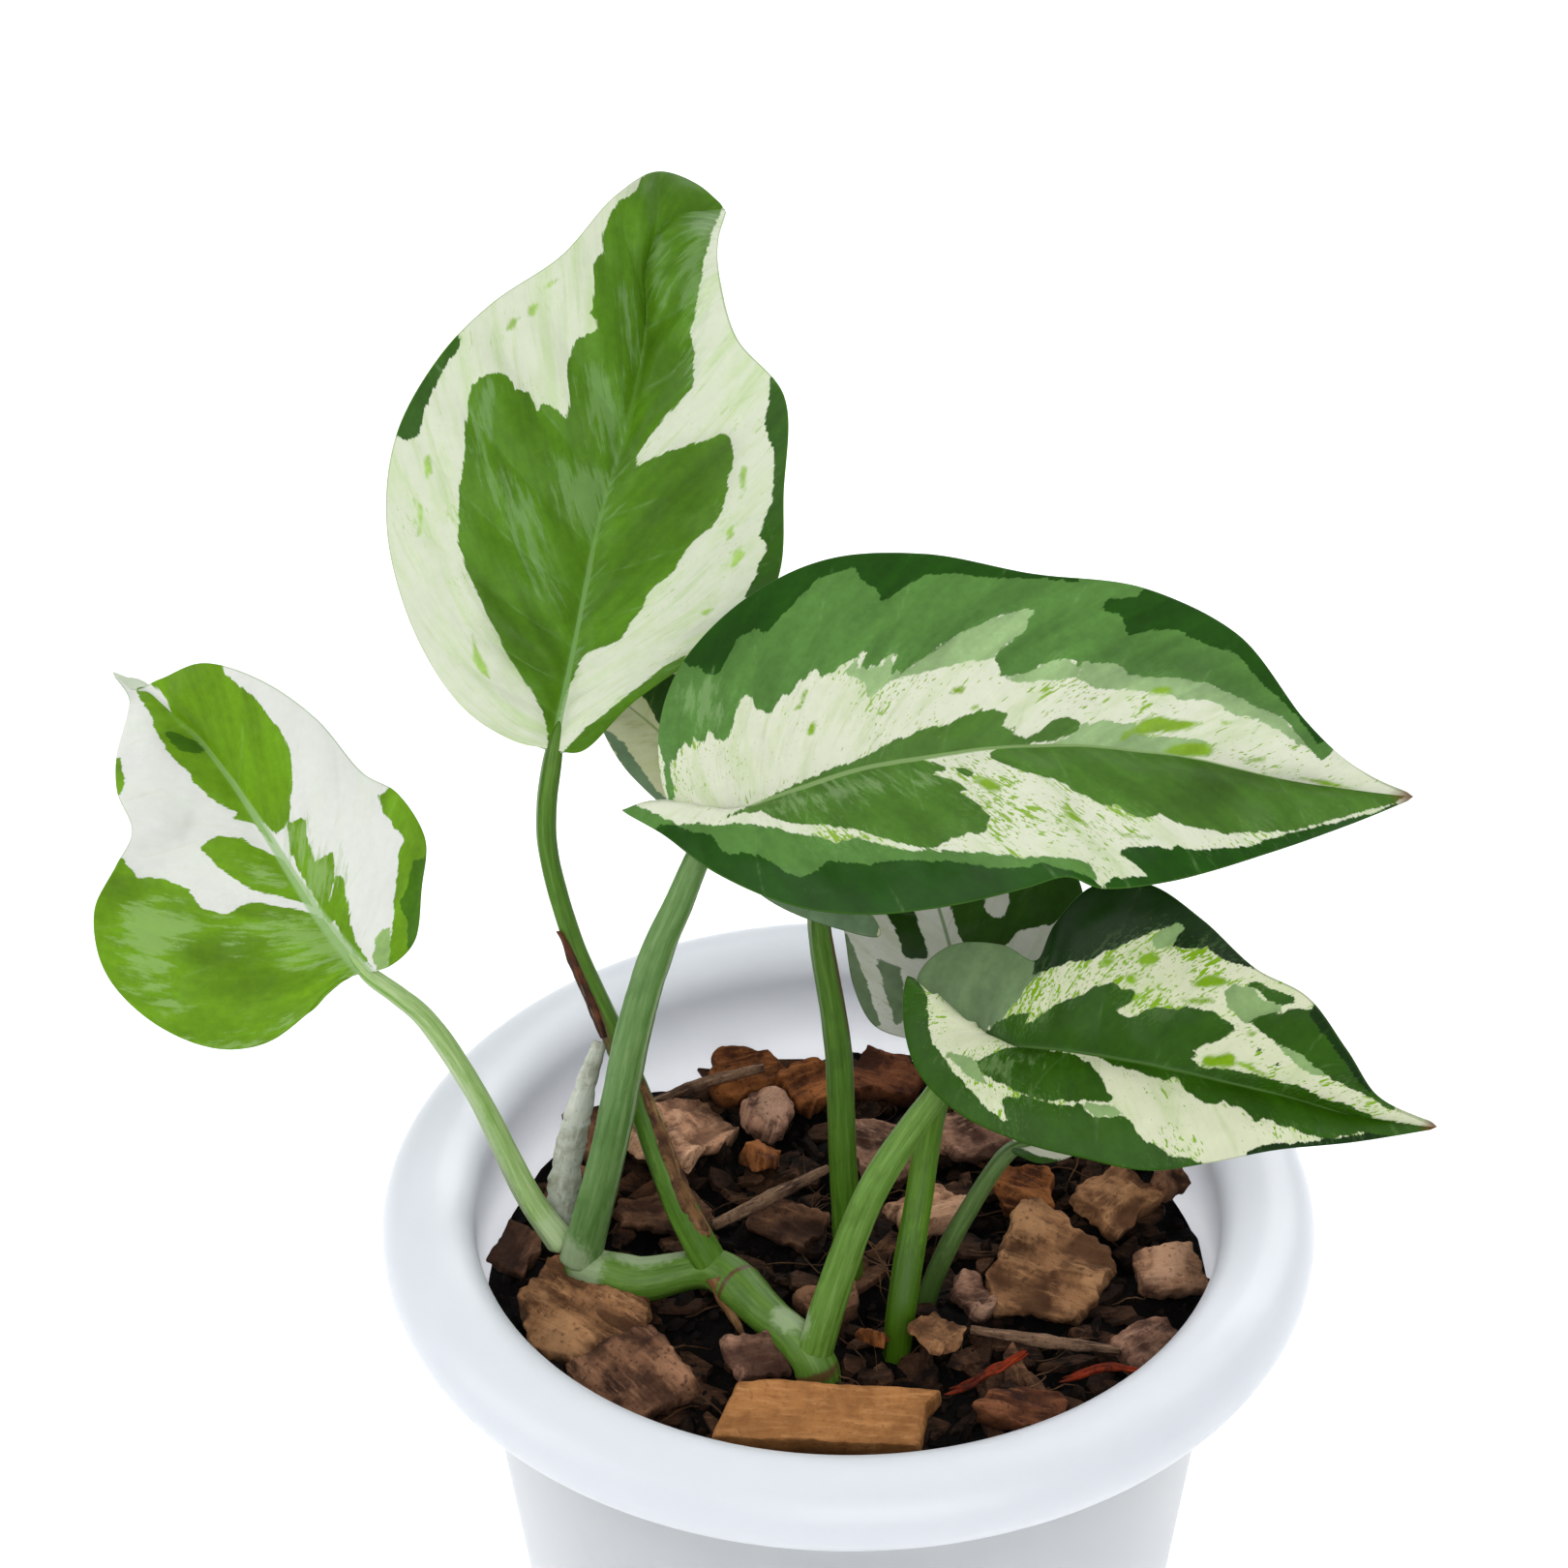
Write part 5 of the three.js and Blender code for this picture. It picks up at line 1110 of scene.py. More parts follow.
# Chips, as in the CAD source: centre, length, width, thickness, then the turn about z, the pitch and the
# roll in degrees
CHIPS = (
    (-31, -10, 75.5, 19, 15, 3.2, -35, 6, 14), (-25, -22, 75.8, 16, 13, 3, -50, 4, 18),
    (-40, 2, 75, 9, 7, 2.6, 70, 0, 12), (-10.5, -19.5, 76.8, 8, 7, 3, 20, 8, 20),
    (-21.5, 20, 78.5, 24, 13, 2.4, 62, 24, 18), (-12, 35, 75.5, 12, 8, 3, 20, 4, 22),
    (-9.5, 27, 75.5, 10, 7, 3, 80, 6, 15), (-10, 17.5, 76, 9, 5, 2.2, 100, 30, 10),
    (-22, 8, 75, 12, 8, 2.6, 10, 8, 14), (16.5, 22, 75.6, 13, 9, 3, 35, 8, 16),
    (24, -5, 77, 17, 15, 3, -20, 10, 20), (10, -16.5, 77.4, 10, 6.5, 2.4, 62, 28, 12),
    (33, 8, 76.4, 13, 10, 3, 50, 8, 18), (38, -4, 75.5, 9, 8, 3, 10, 6, 16),
    (40, 13, 75.4, 8, 5, 2.6, 95, 6, 10), (14.5, -9, 76.6, 7, 6, 2.2, 30, 14, 16),
    (2.5, -15.5, 76.2, 7, 3.5, 1.8, 105, 32, 10), (19.5, -27, 75, 11, 7, 2.4, -10, 4, 12),
    (4.5, 19, 75.6, 12, 9, 3, -15, 10, 14), (-4.5, 33, 75.3, 9, 8, 2.8, 40, 5, 14),
    (6, 34, 75.5, 12, 8, 3, -20, 6, 16), (18, 35, 75.3, 10, 8, 2.8, 15, 4, 12),
    (28, 27, 75.4, 13, 9, 3, -48, 6, 14), (10, 8, 75.2, 10, 7, 2.6, 25, 6, 10),
    (22, 11, 75.6, 11, 8, 2.8, -30, 8, 14), (-31, 24, 75.3, 13, 8, 2.8, -42, 4, 12),
    (-33, 12, 75.2, 10, 7, 2.6, 15, 5, 14), (-7, 6, 75, 10, 7, 2.4, -25, 6, 10),
    (34, -17, 75.2, 10, 7, 2.6, 40, 5, 14), (-2.5, -9, 75, 9, 6, 2.4, 30, 4, 10),
)
WOOD_BLOCK = (-3, -29.5, 76.3, 28, 9.5, 5.5, -4, 2, 24)

# Bark finishes as dark, middle and light sRGB, and the chips that have them; the others are plain brown
CHIP_FINISHES = {
    "brown": ((44, 26, 18), (104, 72, 52), (140, 102, 76)),
    "pale": ((88, 60, 44), (164, 122, 94), (192, 152, 122)),
    "tan": ((72, 46, 28), (138, 98, 66), (176, 132, 92)),
    "orange": ((52, 24, 8), (120, 70, 34), (156, 98, 54)),
    "rosy": ((54, 34, 26), (128, 94, 76), (162, 128, 106)),
    "rusty": ((36, 16, 8), (88, 50, 30), (118, 74, 48)),
}
CHIPS_BY_FINISH = {
    "pale": (5, 14, 24), "tan": (1, 11, 12, 13, 22), "orange": (6, 8, 17, 20, 25),
    "rosy": (4, 7, 10, 16, 19, 29), "rusty": (18, 21),
}
CHIP_CORNERS = 7
CHIP_ROWS = (8, 28)
CHIP_COLUMNS = (36, 150)
CHIP_SPACING = 0.42  # millimetres between the points of a chip's surface


def turned(points, turn, pitch, roll):
    """Points rolled about X, then pitched about Y, then turned about Z, by angles in degrees."""
    (cr, sr), (cp, sp), (ct, st) = ((math.cos(a), math.sin(a)) for a in np.radians((roll, pitch, turn)))
    rx = np.array([[1, 0, 0], [0, cr, -sr], [0, sr, cr]])
    ry = np.array([[cp, 0, sp], [0, 1, 0], [-sp, 0, cp]])
    rz = np.array([[ct, -st, 0], [st, ct, 0], [0, 0, 1]])
    return points @ (rz @ ry @ rx).T


def slab(name, row, seed, rough=1.0, spacing=CHIP_SPACING):
    """A flat broken piece. Its outline is the CAD's uneven heptagon, a squarish ellipse sampled at seven
    uneven angles. Rings of that outline run from the middle of the top, over a tight edge, to the middle of
    the underside. Noise breaks them: broad lumps, terraces (the whole part of a noise, with short smooth
    steps) like flaked layers, fibres drawn out along the length, grit, and a ragged outline."""
    place, (length, width, thickness), tilts = np.array(row[:3]), row[3:6], row[6:]
    corner = np.arange(CHIP_CORNERS)
    around = 2 * np.pi * (corner + 0.3 * np.sin(seed * 7 + corner * 3)) / CHIP_CORNERS
    reach = 0.5 * (0.92 + 0.14 * np.sin(seed * 5 + corner * 4.1))
    direction = np.stack([np.cos(around), np.sin(around)], axis=-1)
    shape = np.sign(direction) * np.abs(direction) ** 0.6 * (length, width) * reach[:, None]
    closed = np.vstack([shape, shape[:1]])
    side = np.linalg.norm(np.diff(closed, axis=0), axis=1)
    length_so_far = np.concatenate([[0], np.cumsum(side)])
    columns = int(np.clip(length_so_far[-1] / spacing, *CHIP_COLUMNS))
    at = np.arange(columns) / columns * length_so_far[-1]
    outline = np.stack([np.interp(at, length_so_far, closed[:, axis]) for axis in (0, 1)], axis=-1)
    half = thickness / 2
    rows = int(np.clip(width / 2 / spacing, *CHIP_ROWS))
    top = np.stack([np.linspace(0.04, 0.95, rows), np.full(rows, half)], axis=-1)
    profile = np.vstack([top, arc((0.95, 0), (0.05, half), 70, -70, 7), top[::-1] * (1, -1)])
    ring = np.empty((len(profile), columns, 3))
    ring[..., :2] = profile[:, :1, None] * outline
    ring[..., 2] = profile[:, 1:]
    grain = ring * (0.3, 1, 1)
    steps = 2.8 * noise(grain * (1, 1, 0.2), 2.2, seed + 1) + 1.0 * noise(ring, 6, seed + 7)
    terraces = np.floor(steps) + smoothstep(0.3, 0.6, steps - np.floor(steps))
    lumps = noises(ring, (0.5, 5, seed), (0.22, 2, seed + 2))
    fibres = noises(grain, (0.14, 0.45, seed + 3), (0.2, 1.1, seed + 4))
    relief = lumps + 0.32 * terraces + fibres + 0.1 * noise(ring, 0.6, seed + 4)
    tilt = np.clip(ring[..., 2] / half, -1, 1)
    ring[..., 2] += tilt * rough * (relief - 0.25)
    ragged = 0.8 * noise(ring * (1, 1, 0.5), 2.4, seed + 5) + 0.5 * noise(ring * (1, 1, 0.6), 0.9, seed + 6)
    ring[..., :2] += (rough * ragged * profile[:, :1] ** 3)[..., None] * unit(outline)
    posed = turned(ring, *tilts) + place
    tips = [(turned(end.mean(0), *tilts) + place) * MM for end in (ring[0], ring[-1])]
    # The relief also places the bark's painted highlight and painted shade
    values = {"relief": relief * rough, "tone": 0.25 * math.sin(seed * 2.3)}
    return show(name, skin(posed * MM, *tips, plan_uv(ring) + seed * 0.05, values))


def make_chips(tree):
    finish_of = {number: name for name, numbers in CHIPS_BY_FINISH.items() for number in numbers}
    materials = {name: bark_material(name + "_bark", tree, *tones) for name, tones in CHIP_FINISHES.items()}
    for number, row in enumerate(CHIPS, start=1):
        chip = slab(f"bark_{number:02}", row, number - 1)
        finished(chip, materials[finish_of.get(number, "brown")], "husk", f"husk_chip_{number:02}")
    block = slab("sawn_block", WOOD_BLOCK, 2, rough=0.3, spacing=0.36)
    sawn = bark_material("sawn_wood", tree, (134, 88, 48), (164, 112, 64), (186, 134, 84), 0.8, 0.7)
    finished(block, sawn, "sawn_wood", "wood_block")


def make_medium(tree):
    """The medium's plug: rings across its underside, up its side and in over its lumpy top."""
    sectors, top_rings = 220, 110
    floor = WALL + 0.5
    rim = wall_at(MEDIUM_TOP) - 0.6
    under = np.linspace((2, floor), (wall_at(floor) - 4, floor), 6)
    side = np.linspace((wall_at(floor) - 2, floor + 1), (rim, MEDIUM_TOP - 2.5), 12)
    top = np.linspace((rim - 0.3, MEDIUM_TOP), (0.3, MEDIUM_TOP), top_rings)
    rings = turned_profile(np.vstack([under, side, top]), sectors)
    lid = rings[-top_rings:]
    lid[..., 2] = soil_height(lid[..., 0], lid[..., 1])
    # The relief also places the soil's painted highlight and painted shade
    values = {"relief": 0.8 * soil_lumps(rings[..., 0], rings[..., 1])}
    tips = (0, 0, floor * MM), lid[-1].mean(0) * MM
    plug = show("soil_plug", skin(rings * MM, *tips, plan_uv(rings), values))
    dark = bark_material("dark_medium", tree, (5, 3, 2), (16, 10, 7), (34, 22, 15), 0.5, 0.95)
    finished(plug, dark, "medium", "growing_medium")


def scattered(rng, count, margin):
    """Random places on the medium, evenly spread over the disc inside its rim less a margin."""
    reach = (wall_at(MEDIUM_TOP) - margin) * np.sqrt(rng.random(count))
    angle = rng.random(count) * 2 * np.pi
    return reach * np.cos(angle), reach * np.sin(angle)


def make_crumbs(rng, tree):
    """Crumbs of the medium: copies of a 20-sided ball, each stretched, dented and turned at random."""
    ball = bmesh.new()
    bmesh.ops.create_icosphere(ball, subdivisions=1, radius=1)
    base = np.array([corner.co for corner in ball.verts])
    sides = np.array([[corner.index for corner in face.verts] for face in ball.faces])
    ball.free()
    x, y = scattered(rng, CRUMBS, 2)
    size = 0.35 + 1.1 * rng.random(CRUMBS) ** 3
    stretch = size[:, None] * (0.6 + rng.random((CRUMBS, 3)) * (1.4, 0.6, 0.4))
    turns = np.linalg.qr(rng.normal(size=(CRUMBS, 3, 3)))[0]
    turns *= np.sign(np.linalg.det(turns))[:, None, None]
    dents = 1 + 0.22 * rng.normal(size=(CRUMBS, len(base), 1))
    shaped = np.einsum("nij,nkj->nki", turns, base * dents * stretch[:, None])
    center = np.stack([x, y, soil_height(x, y) + 0.35 * size], axis=-1)
    corners = (shaped + center[:, None]).reshape(-1, 3) * MM
    faces = (sides[None] + len(base) * np.arange(CRUMBS)[:, None, None]).reshape(-1, 3)
    tone = {"tone": np.repeat(rng.uniform(-0.9, 0.6, CRUMBS), len(base))}
    crumbs = show("medium_crumbs", (corners, (faces,), corners[faces.ravel(), :2], tone))
    dark = bark_material("crumb_bark", tree, (9, 5, 3), (38, 24, 16), (76, 52, 36), 0.4, 0.9)
    finished(crumbs, dark, "medium")
    return crumbs


def make_shards(rng, tree):
    """Shards of husk on the medium: four flat rings of an uneven octagon, tilted at random."""
    shards = []
    profile = np.array([(0.45, 0.9), (0.95, 0.8), (1, -0.5), (0.5, -0.9)])
    for x, y, mood in zip(*scattered(rng, SHARDS, 3.5), rng.uniform(-0.9, 0.7, SHARDS)):
        across = np.array([1.6 + 3.2 * rng.random(), 0.8 + 1.5 * rng.random()])
        angle = 2 * np.pi * (np.arange(8) + rng.uniform(-0.3, 0.3, 8)) / 8
        outline = np.stack([np.cos(angle), np.sin(angle)], axis=-1) * across
        outline = outline * rng.uniform(0.7, 1.15, (8, 1))
        rings = np.empty((4, 8, 3))
        rings[..., :2] = profile[:, :1, None] * outline
        rings[..., 2] = profile[:, 1:] * (0.35 + 0.4 * rng.random()) + rng.uniform(-0.12, 0.12, (4, 8))
        rings = turned(rings, 360 * rng.random(), rng.normal() * 16, rng.normal() * 16)
        rings += (x, y, soil_height(x, y) + 0.7)
        tips = rings[0].mean(0) * MM, rings[-1].mean(0) * MM
        shards.append(skin(rings * MM, *tips, plan_uv(rings), {"tone": mood}))
    litter = show("husk_shards", *shards)
    finished(litter, bark_material("shard_bark", tree, (26, 15, 10), (92, 62, 43), (136, 98, 70)), "husk")
    return litter


def make_hairs(rng, tree):
    """Hairs of husk that lie over the medium: a parabola sideways and one upwards, and noise."""
    hairs = []
    t = np.linspace(-0.5, 0.5, 9)
    for number in range(HAIRS):
        reach, angle, heading = rng.random(3) * (36, 2 * np.pi, 2 * np.pi)
        length, bend, radius = 5 + 9 * rng.random(), rng.normal() * 2.5, 0.05 + 0.07 * rng.random()
        along = t * length
        off = bend * (4 * t * t - 1) + 0.5 * noise(np.stack([t * 9, t, t], axis=-1), 2, number)
        x = reach * np.cos(angle) + along * np.cos(heading) - off * np.sin(heading)
        y = reach * np.sin(angle) + along * np.sin(heading) + off * np.cos(heading)
        if np.hypot(x, y).max() < wall_at(MEDIUM_TOP) - 2:
            line = np.stack([x, y, soil_height(x, y) + 0.8 + 1.2 * (1 - 4 * t * t)], axis=-1)
            hairs.append(tube(line, np.full(9, radius), columns=5))
    straw = bark_material("husk_hair", tree, (50, 30, 18), (104, 74, 50), (146, 110, 80), 0.3)
    finished(show("husk_hairs", *hairs), straw, "husk")


def make_litter(tree):
    """Loose bits on the medium. Crumbs and shards are broken, so their faces are shaded flat."""
    rng = np.random.default_rng(11)
    for piece in (make_crumbs(rng, tree), make_shards(rng, tree)):
        piece.data.polygons.foreach_set("use_smooth", np.zeros(len(piece.data.polygons), bool))
    make_hairs(rng, tree)


# Stems. The points and radii are the CAD source's, and a petiole also starts at its leaf's joint
STEMS = {
    "vine_stem": (
        ((-33.5, -3, 77.5), (-32, -3.5, 77.5), (-25, -6, 77), (-16, -5.5, 78), (-10, -12.5, 77.5),
         (-4.5, -19.5, 76.5), (-3.5, -20.5, 70), (-4, -20, 60)),
        (2, 2.9, 2.3, 2.8, 2.3, 2.6, 2.2, 1.6)),
    "petiole_tall": (
        ((-34, 13.5, 131.5), (-34, 12, 126), (-31.5, 8.5, 116), (-27.5, 5, 106), (-24.5, 2.5, 98),
         (-20, -2.5, 86), (-16, -5.5, 78)),
        (1.2, 1.2, 1.7, 2.2)),
    "petiole_front": (
        ((-16, -5.5, 137.5), (-18.5, -5.5, 131), (-21, -5, 124.5), (-24, -4.5, 113.5), (-27.5, -3.5, 96),
         (-32, -3.5, 77.5)),
        (1.4, 1.9, 2.1, 2.15, 2.5)),
    "petiole_left": (
        ((-52, 6.5, 110), (-49, 6, 107), (-43.5, 3.5, 98), (-37.5, -0.5, 85), (-33.5, -2.5, 79)),
        (1.1, 1.3, 1.3, 1.5, 1.8)),
    "petiole_low": (
        ((9, -9.5, 105.5), (2.5, -13, 96), (-2, -17, 85), (-4.5, -19.5, 76.5)),
        (1.3, 1.8, 2, 2.2)),
    "petiole_under": (
        ((-3, 8, 118), (-1, 4.5, 103.5), (-0.5, 0.5, 89.5), (0, -2, 78), (0, -3, 66)),
        (1.3, 1.6, 1.7, 1.8)),
    "petiole_back": (
        ((10.5, 2.5, 96), (8, -5.5, 86.5), (6, -12.5, 78), (5, -15, 67)),
        (1.3, 1.6, 1.8, 1.6)),
    "petiole_small": (
        ((14, -4.5, 85.5), (10.5, -6, 78), (8, -6.5, 68)),
        (1, 1.2, 1.3)),
}
# Marks on the stems: the kind, the share of the length, the angle round the stem, and how far the mark
# reaches along and round. The angle is carried along a stem with the least turn, so only to within some 30
# degrees does 0 face the camera, and 90 is the left side of a petiole and the lower side of the vine
STEM_MARKS = {
    "vine_stem": (
        ("pale", 0.06, 0, 0.05, 120), ("pale", 0.6, -50, 0.05, 50), ("pale", 0.2, -70, 0.12, 40),
        # The dark marks at 100 degrees, along the vine's lower side, are painted shade
        ("brown", 0.42, 0, 0.008, 180), ("brown", 0.71, 0, 0.008, 180), ("dark", 0.28, 100, 0.2, 50),
        ("dark", 0.55, 100, 0.12, 60)),
    "petiole_tall": (
        ("brown", 0.43, 30, 0.08, 40), ("brown", 0.51, 26, 0.08, 42), ("dark", 0.7, 60, 0.2, 60)),
    "petiole_front": (
        ("pale", 0.5, -86, 0.5, 11), ("pale", 0.97, 20, 0.05, 90), ("dark", 0.15, 88, 0.2, 30),
        ("brown", 0.6, 86, 0.2, 9)),
    "petiole_left": (("pale", 0.55, 70, 0.35, 60), ("pale", 0.95, 0, 0.08, 180)),
    "petiole_low": (("brown", 0.99, 0, 0.02, 180), ("pale", 0.9, 60, 0.06, 50)),
    "petiole_under": (("brown", 0.25, -80, 0.2, 30), ("brown", 0.95, 0, 0.1, 180)),
    "petiole_back": (("dark", 0.8, 0, 0.25, 180),),
    "petiole_small": (("dark", 0.9, 0, 0.4, 180),),
}
# Base, light and dark sRGB of each stem as it looks under the lights, and the pale marks' sRGB. Times the
# level they are what the stem gives back
STEM_LEVEL = 0.78
STEM_PALE = (184, 196, 164)
STEM_COLORS = {
    "vine_stem": ((76, 110, 34), (102, 134, 60), (52, 84, 10)),
    "petiole_tall": ((66, 104, 18), (92, 128, 46), (48, 78, 8)),
    "petiole_front": ((86, 120, 62), (114, 142, 88), (62, 96, 40)),
    "petiole_left": ((136, 166, 98), (176, 194, 144), (96, 142, 46)),
    "petiole_low": ((86, 122, 42), (114, 146, 74), (58, 88, 8)),
    "petiole_under": ((62, 100, 12), (88, 122, 40), (42, 70, 4)),
    "petiole_back": ((76, 116, 18), (100, 136, 42), (54, 86, 8)),
    "petiole_small": ((78, 104, 50), (102, 126, 76), (50, 74, 28)),
}
STEM_SPACING = 0.45  # millimetres between its rings
STEM_COLUMNS = 44
RADIUS_SMOOTHING = 6  # times that each radius is blended with its neighbours
ROUNDED_END = 1.2  # millimetres from either end
CHANNEL_ANGLE = 75
STRIP_ROWS = 90
STRIP_COLUMNS = 17
TO_CAMERA = (0, -0.8, 0.6)


def tube(line, radii, columns=36, section=None, values=None):
    """A skin round a line: at each point a ring of its radius times section, which has a factor for each
    ring and angle. The skin ends in a shallow cone, 0.3 of the radius high."""
    along, across, beside = tube_frames(line, TO_CAMERA)
    turn, round_it = circle(columns)
    radius = radii[:, None] * np.ones(columns) * (1 if section is None else section)
    ring = radius[..., None] * (round_it[:, :1] * across[:, None] + round_it[:, 1:2] * beside[:, None])
    length = np.concatenate([[0], np.cumsum(np.linalg.norm(np.diff(line, axis=0), axis=1))])
    uv = np.stack(np.broadcast_arrays(length[:, None], np.append(turn, 2 * np.pi) * radii.mean()), axis=-1)
    tips = line[0] - along[0] * radii[0] * 0.3, line[-1] + along[-1] * radii[-1] * 0.3
    return skin((line[:, None] + ring) * MM, tips[0] * MM, tips[1] * MM, uv * MM, values)


def stem_line(name):
    """A stem's points, and its radii with the shares of its length where they are. Before the CAD's points,
    a petiole has the leaf's joint and a point under the rib just beyond it, so that it runs into the rib.
    """
    points, radii = STEMS[name]
    leaf = LEAVES.get(name.replace("petiole", "leaf"))
    if leaf is None:
        return points, radii, np.linspace(0, 1, len(radii))
    pointing, _, facing = leaf_axes(leaf)
    joint = np.array(leaf["joint"])
    points = np.array([joint + 3.5 * pointing - 0.55 * facing, joint - 0.5 * facing, *points])
    side = np.linalg.norm(np.diff(points, axis=0), axis=1)
    start = side[0] / side.sum()
    places = np.append((0, start), np.linspace(1.4 * start, 1, len(radii)))
    return points, (0.4, 0.9 * radii[0], *radii), places


def angle_from(turn, degrees):
    """How far angles are from a given one, round the shorter way, in degrees."""
    return np.abs((np.degrees(turn) - degrees + 180) % 360 - 180)


def stem(name):
    """A stalk along its curve, with rows closer at its ends. Its radius runs evenly between the given ones
    and is rounded at the ends. Round it go fine ridges cos(9 angle) and cos(17 angle), and along its left
    side a shallow channel between two raised edges, all three of them bell curves of the angle."""
    points, radii, places = stem_line(name)
    length = np.linalg.norm(np.diff(curve_at(points, np.linspace(0, 1, 100)), axis=0), axis=1).sum()
    rows = int(length / STEM_SPACING)
    closer = np.sin(np.linspace(-1, 1, rows) * np.pi / 2 * 0.995) * 0.08
    share = np.linspace(0, 1, rows) * 0.84 + 0.08 + closer
    line = curve_at(points, share)
    radius = np.interp(share, places, radii)
    for _ in range(RADIUS_SMOOTHING):
        radius[1:-1] = (radius[:-2] + 2 * radius[1:-1] + radius[2:]) / 4
    end = np.minimum(share, 1 - share) * length
    radius = radius * np.sqrt(1 - (1 - np.clip(end / ROUNDED_END, 0, 1)) ** 2 * 0.85)
    turn, round_it = circle(STEM_COLUMNS)
    channel = angle_from(turn, CHANNEL_ANGLE)
    depth = 0.05 if name == "vine_stem" else 0.13
    section = (1 - depth * bell(channel, 24) + 0.6 * depth * bell(channel - 42, 16)
               + 0.012 * np.cos(9 * turn) + 0.008 * np.cos(17 * turn + 2))
    section = section + noises(line[:, None] + round_it, (0.03, 3.0, len(name)), (0.01, 0.9, 2))
    marks = {kind: np.zeros((rows, STEM_COLUMNS)) for kind in ("pale", "brown", "dark")}
    for kind, at, degrees, reach, spread in STEM_MARKS[name]:
        mark = bell(share[:, None] - at, reach) * bell(angle_from(turn, degrees), spread)
        marks[kind] = np.maximum(marks[kind], mark)
        if reach < 0.02:  # a narrow mark is a joint's ring, and stands out a little
            section = section + 0.05 * mark
    place = {"around_x": round_it[:, 0], "around_y": round_it[:, 1], "along": (share * length)[:, None]}
    return show(name.replace("petiole", "stalk"), tube(line, radius, STEM_COLUMNS, section, marks | place))


def make_stem_group():
    """Colour of a stem: stripes along it between a base, a light and a dark tone, blotches, and marks of
    pale and brown tissue and darker marks, all with ragged edges. The darker marks on the vine's lower side
    are painted shade."""
    kinds = {tone: ("Color", (0, 0, 0, 1)) for tone in ("base", "light", "dark", "pale")}
    tree, n, given, out = new_group("stem_paint", kinds, {"color": "Color", "height": "Float"})
    sides = {0: n.attribute("around_x"), 1: n.attribute("around_y")}
    along = n.attribute("along")

    def drawn(scale, stretch, detail):
        place = n.add("ShaderNodeCombineXYZ", {**sides, 2: n.times(along, stretch)}).outputs[0]
        return n.noise(place, scale, detail, 0.55)

    stripes = drawn(3.2, 0.03, 3.0)
    threads = drawn(9.0, 0.05, 2.0)
    blotches = drawn(1.6, 0.22, 4.0)
    ragged = n.times(n.math("SUBTRACT", drawn(5.0, 0.25, 4.0), 0.5), 0.7)
    color = n.blend(n.span(stripes, 0.46, 0.7, 0.0, 0.6), given["base"], given["light"])
    color = n.blend(n.times(n.span(stripes, 0.5, 0.3), 0.7), color, given["dark"])
    color = n.blend(n.times(n.span(threads, 0.5, 0.7), 0.18), color, given["light"])
    color = n.blend(n.times(n.span(blotches, 0.5, 0.3), 0.4), color, given["dark"])
    brown = linear(72, 44, 28)
    marks = ("dark", given["dark"], 0.8), ("pale", given["pale"], 0.38), ("brown", brown, 0.85)
    for name, tone, most in marks:
        mask = n.span(n.plus(n.attribute(name), ragged), 0.3, 0.75)
        color = n.blend(n.times(mask, most), color, tone)
    n.feed(out["color"], color)
    n.feed(out["height"], n.plus(stripes, n.times(threads, 0.6)))
    return tree


def make_stems():
    tree = make_stem_group()
    for name, (base, light, dark) in STEM_COLORS.items():
        material, nodes, shader = new_material(name + "_skin", 0.42)
        shader["IOR"].default_value = 1.28
        tones = {"base": base, "light": light, "dark": dark, "pale": STEM_PALE}
        paint = nodes.group(tree, {tone: linear(*color, STEM_LEVEL) for tone, color in tones.items()})
        nodes.feed(shader["Base Color"], paint["color"])
        nodes.feed(shader["Normal"], bumped(nodes, paint["height"], 0.4, 0.0002))
        finished(stem(name), material, "pale_sheath" if name == "petiole_left" else "stem", name)


def ribbon(points, widths, up, fold=0.2, twist=0.0, thickness=0.22, seed=0):
    """The skin of a thin strip along a curve. Across it goes s from -1 to 1, and the strip bends off its
    plane by fold times its width times s squared. It turns about its curve by twist radians from end to
    end, and noise frays its edges. Its thickness is the root of 1 - s^8, times the given one."""
    share = np.linspace(0, 1, STRIP_ROWS)
    s = np.linspace(-1, 1, STRIP_COLUMNS)
    line = curve_at(points, share)
    _, across, beside = tube_frames(line, up)
    cos, sin = np.cos(twist * share)[:, None], np.sin(twist * share)[:, None]
    across, beside = cos * across + sin * beside, cos * beside - sin * across
    width = np.interp(share, np.linspace(0, 1, len(widths)), widths)
    place = line[:, None] + s[:, None] * beside[:, None]
    fray = 1 + noises(place, (0.14, 2.2, seed), (0.1, 0.7, seed + 1))
    half = (width[:, None] / 2 * fray * s)[..., None] * beside[:, None]
    crease = width[:, None] * fold * s * s + 0.12 * noise(place * (1, 1, 0.4), 1.1, seed + 2)
    sheet = line[:, None] + half + crease[..., None] * across[:, None]
    thick = (thickness / 2 * np.sqrt(np.maximum(1 - s ** 8, 0.02)))[:, None] * across[:, None]
    ring = np.concatenate([sheet + thick, (sheet - thick)[:, ::-1]], axis=1)
    ring_s = np.concatenate([s, s[::-1]])
    length = np.linalg.norm(np.diff(line, axis=0), axis=1).sum()
    flat = np.stack(np.broadcast_arrays((share * length)[:, None], ring_s * width.mean() / 2), axis=-1)
    flat = np.concatenate([flat, flat[:, :1]], axis=1)
    return skin(ring * MM, line[0] * MM, line[-1] * MM, flat * MM)


def beside_stem(name, shares, degrees, lift):
    """Points off a stem's curve at an angle round it, at the distance of its radius and a lift, and the
    direction of that angle at the first of them."""
    points, radii, places = stem_line(name)
    fine = curve_at(points, np.linspace(0, 1, 200))
    _, across, beside = tube_frames(fine, TO_CAMERA)
    place = np.round(np.array(shares) * (len(fine) - 1)).astype(int)
    radius = np.interp(shares, places, radii) + np.array(lift)
    angle = math.radians(degrees)
    out = math.cos(angle) * across[place] + math.sin(angle) * beside[place]
    return fine[place] + radius[:, None] * out, out[0]


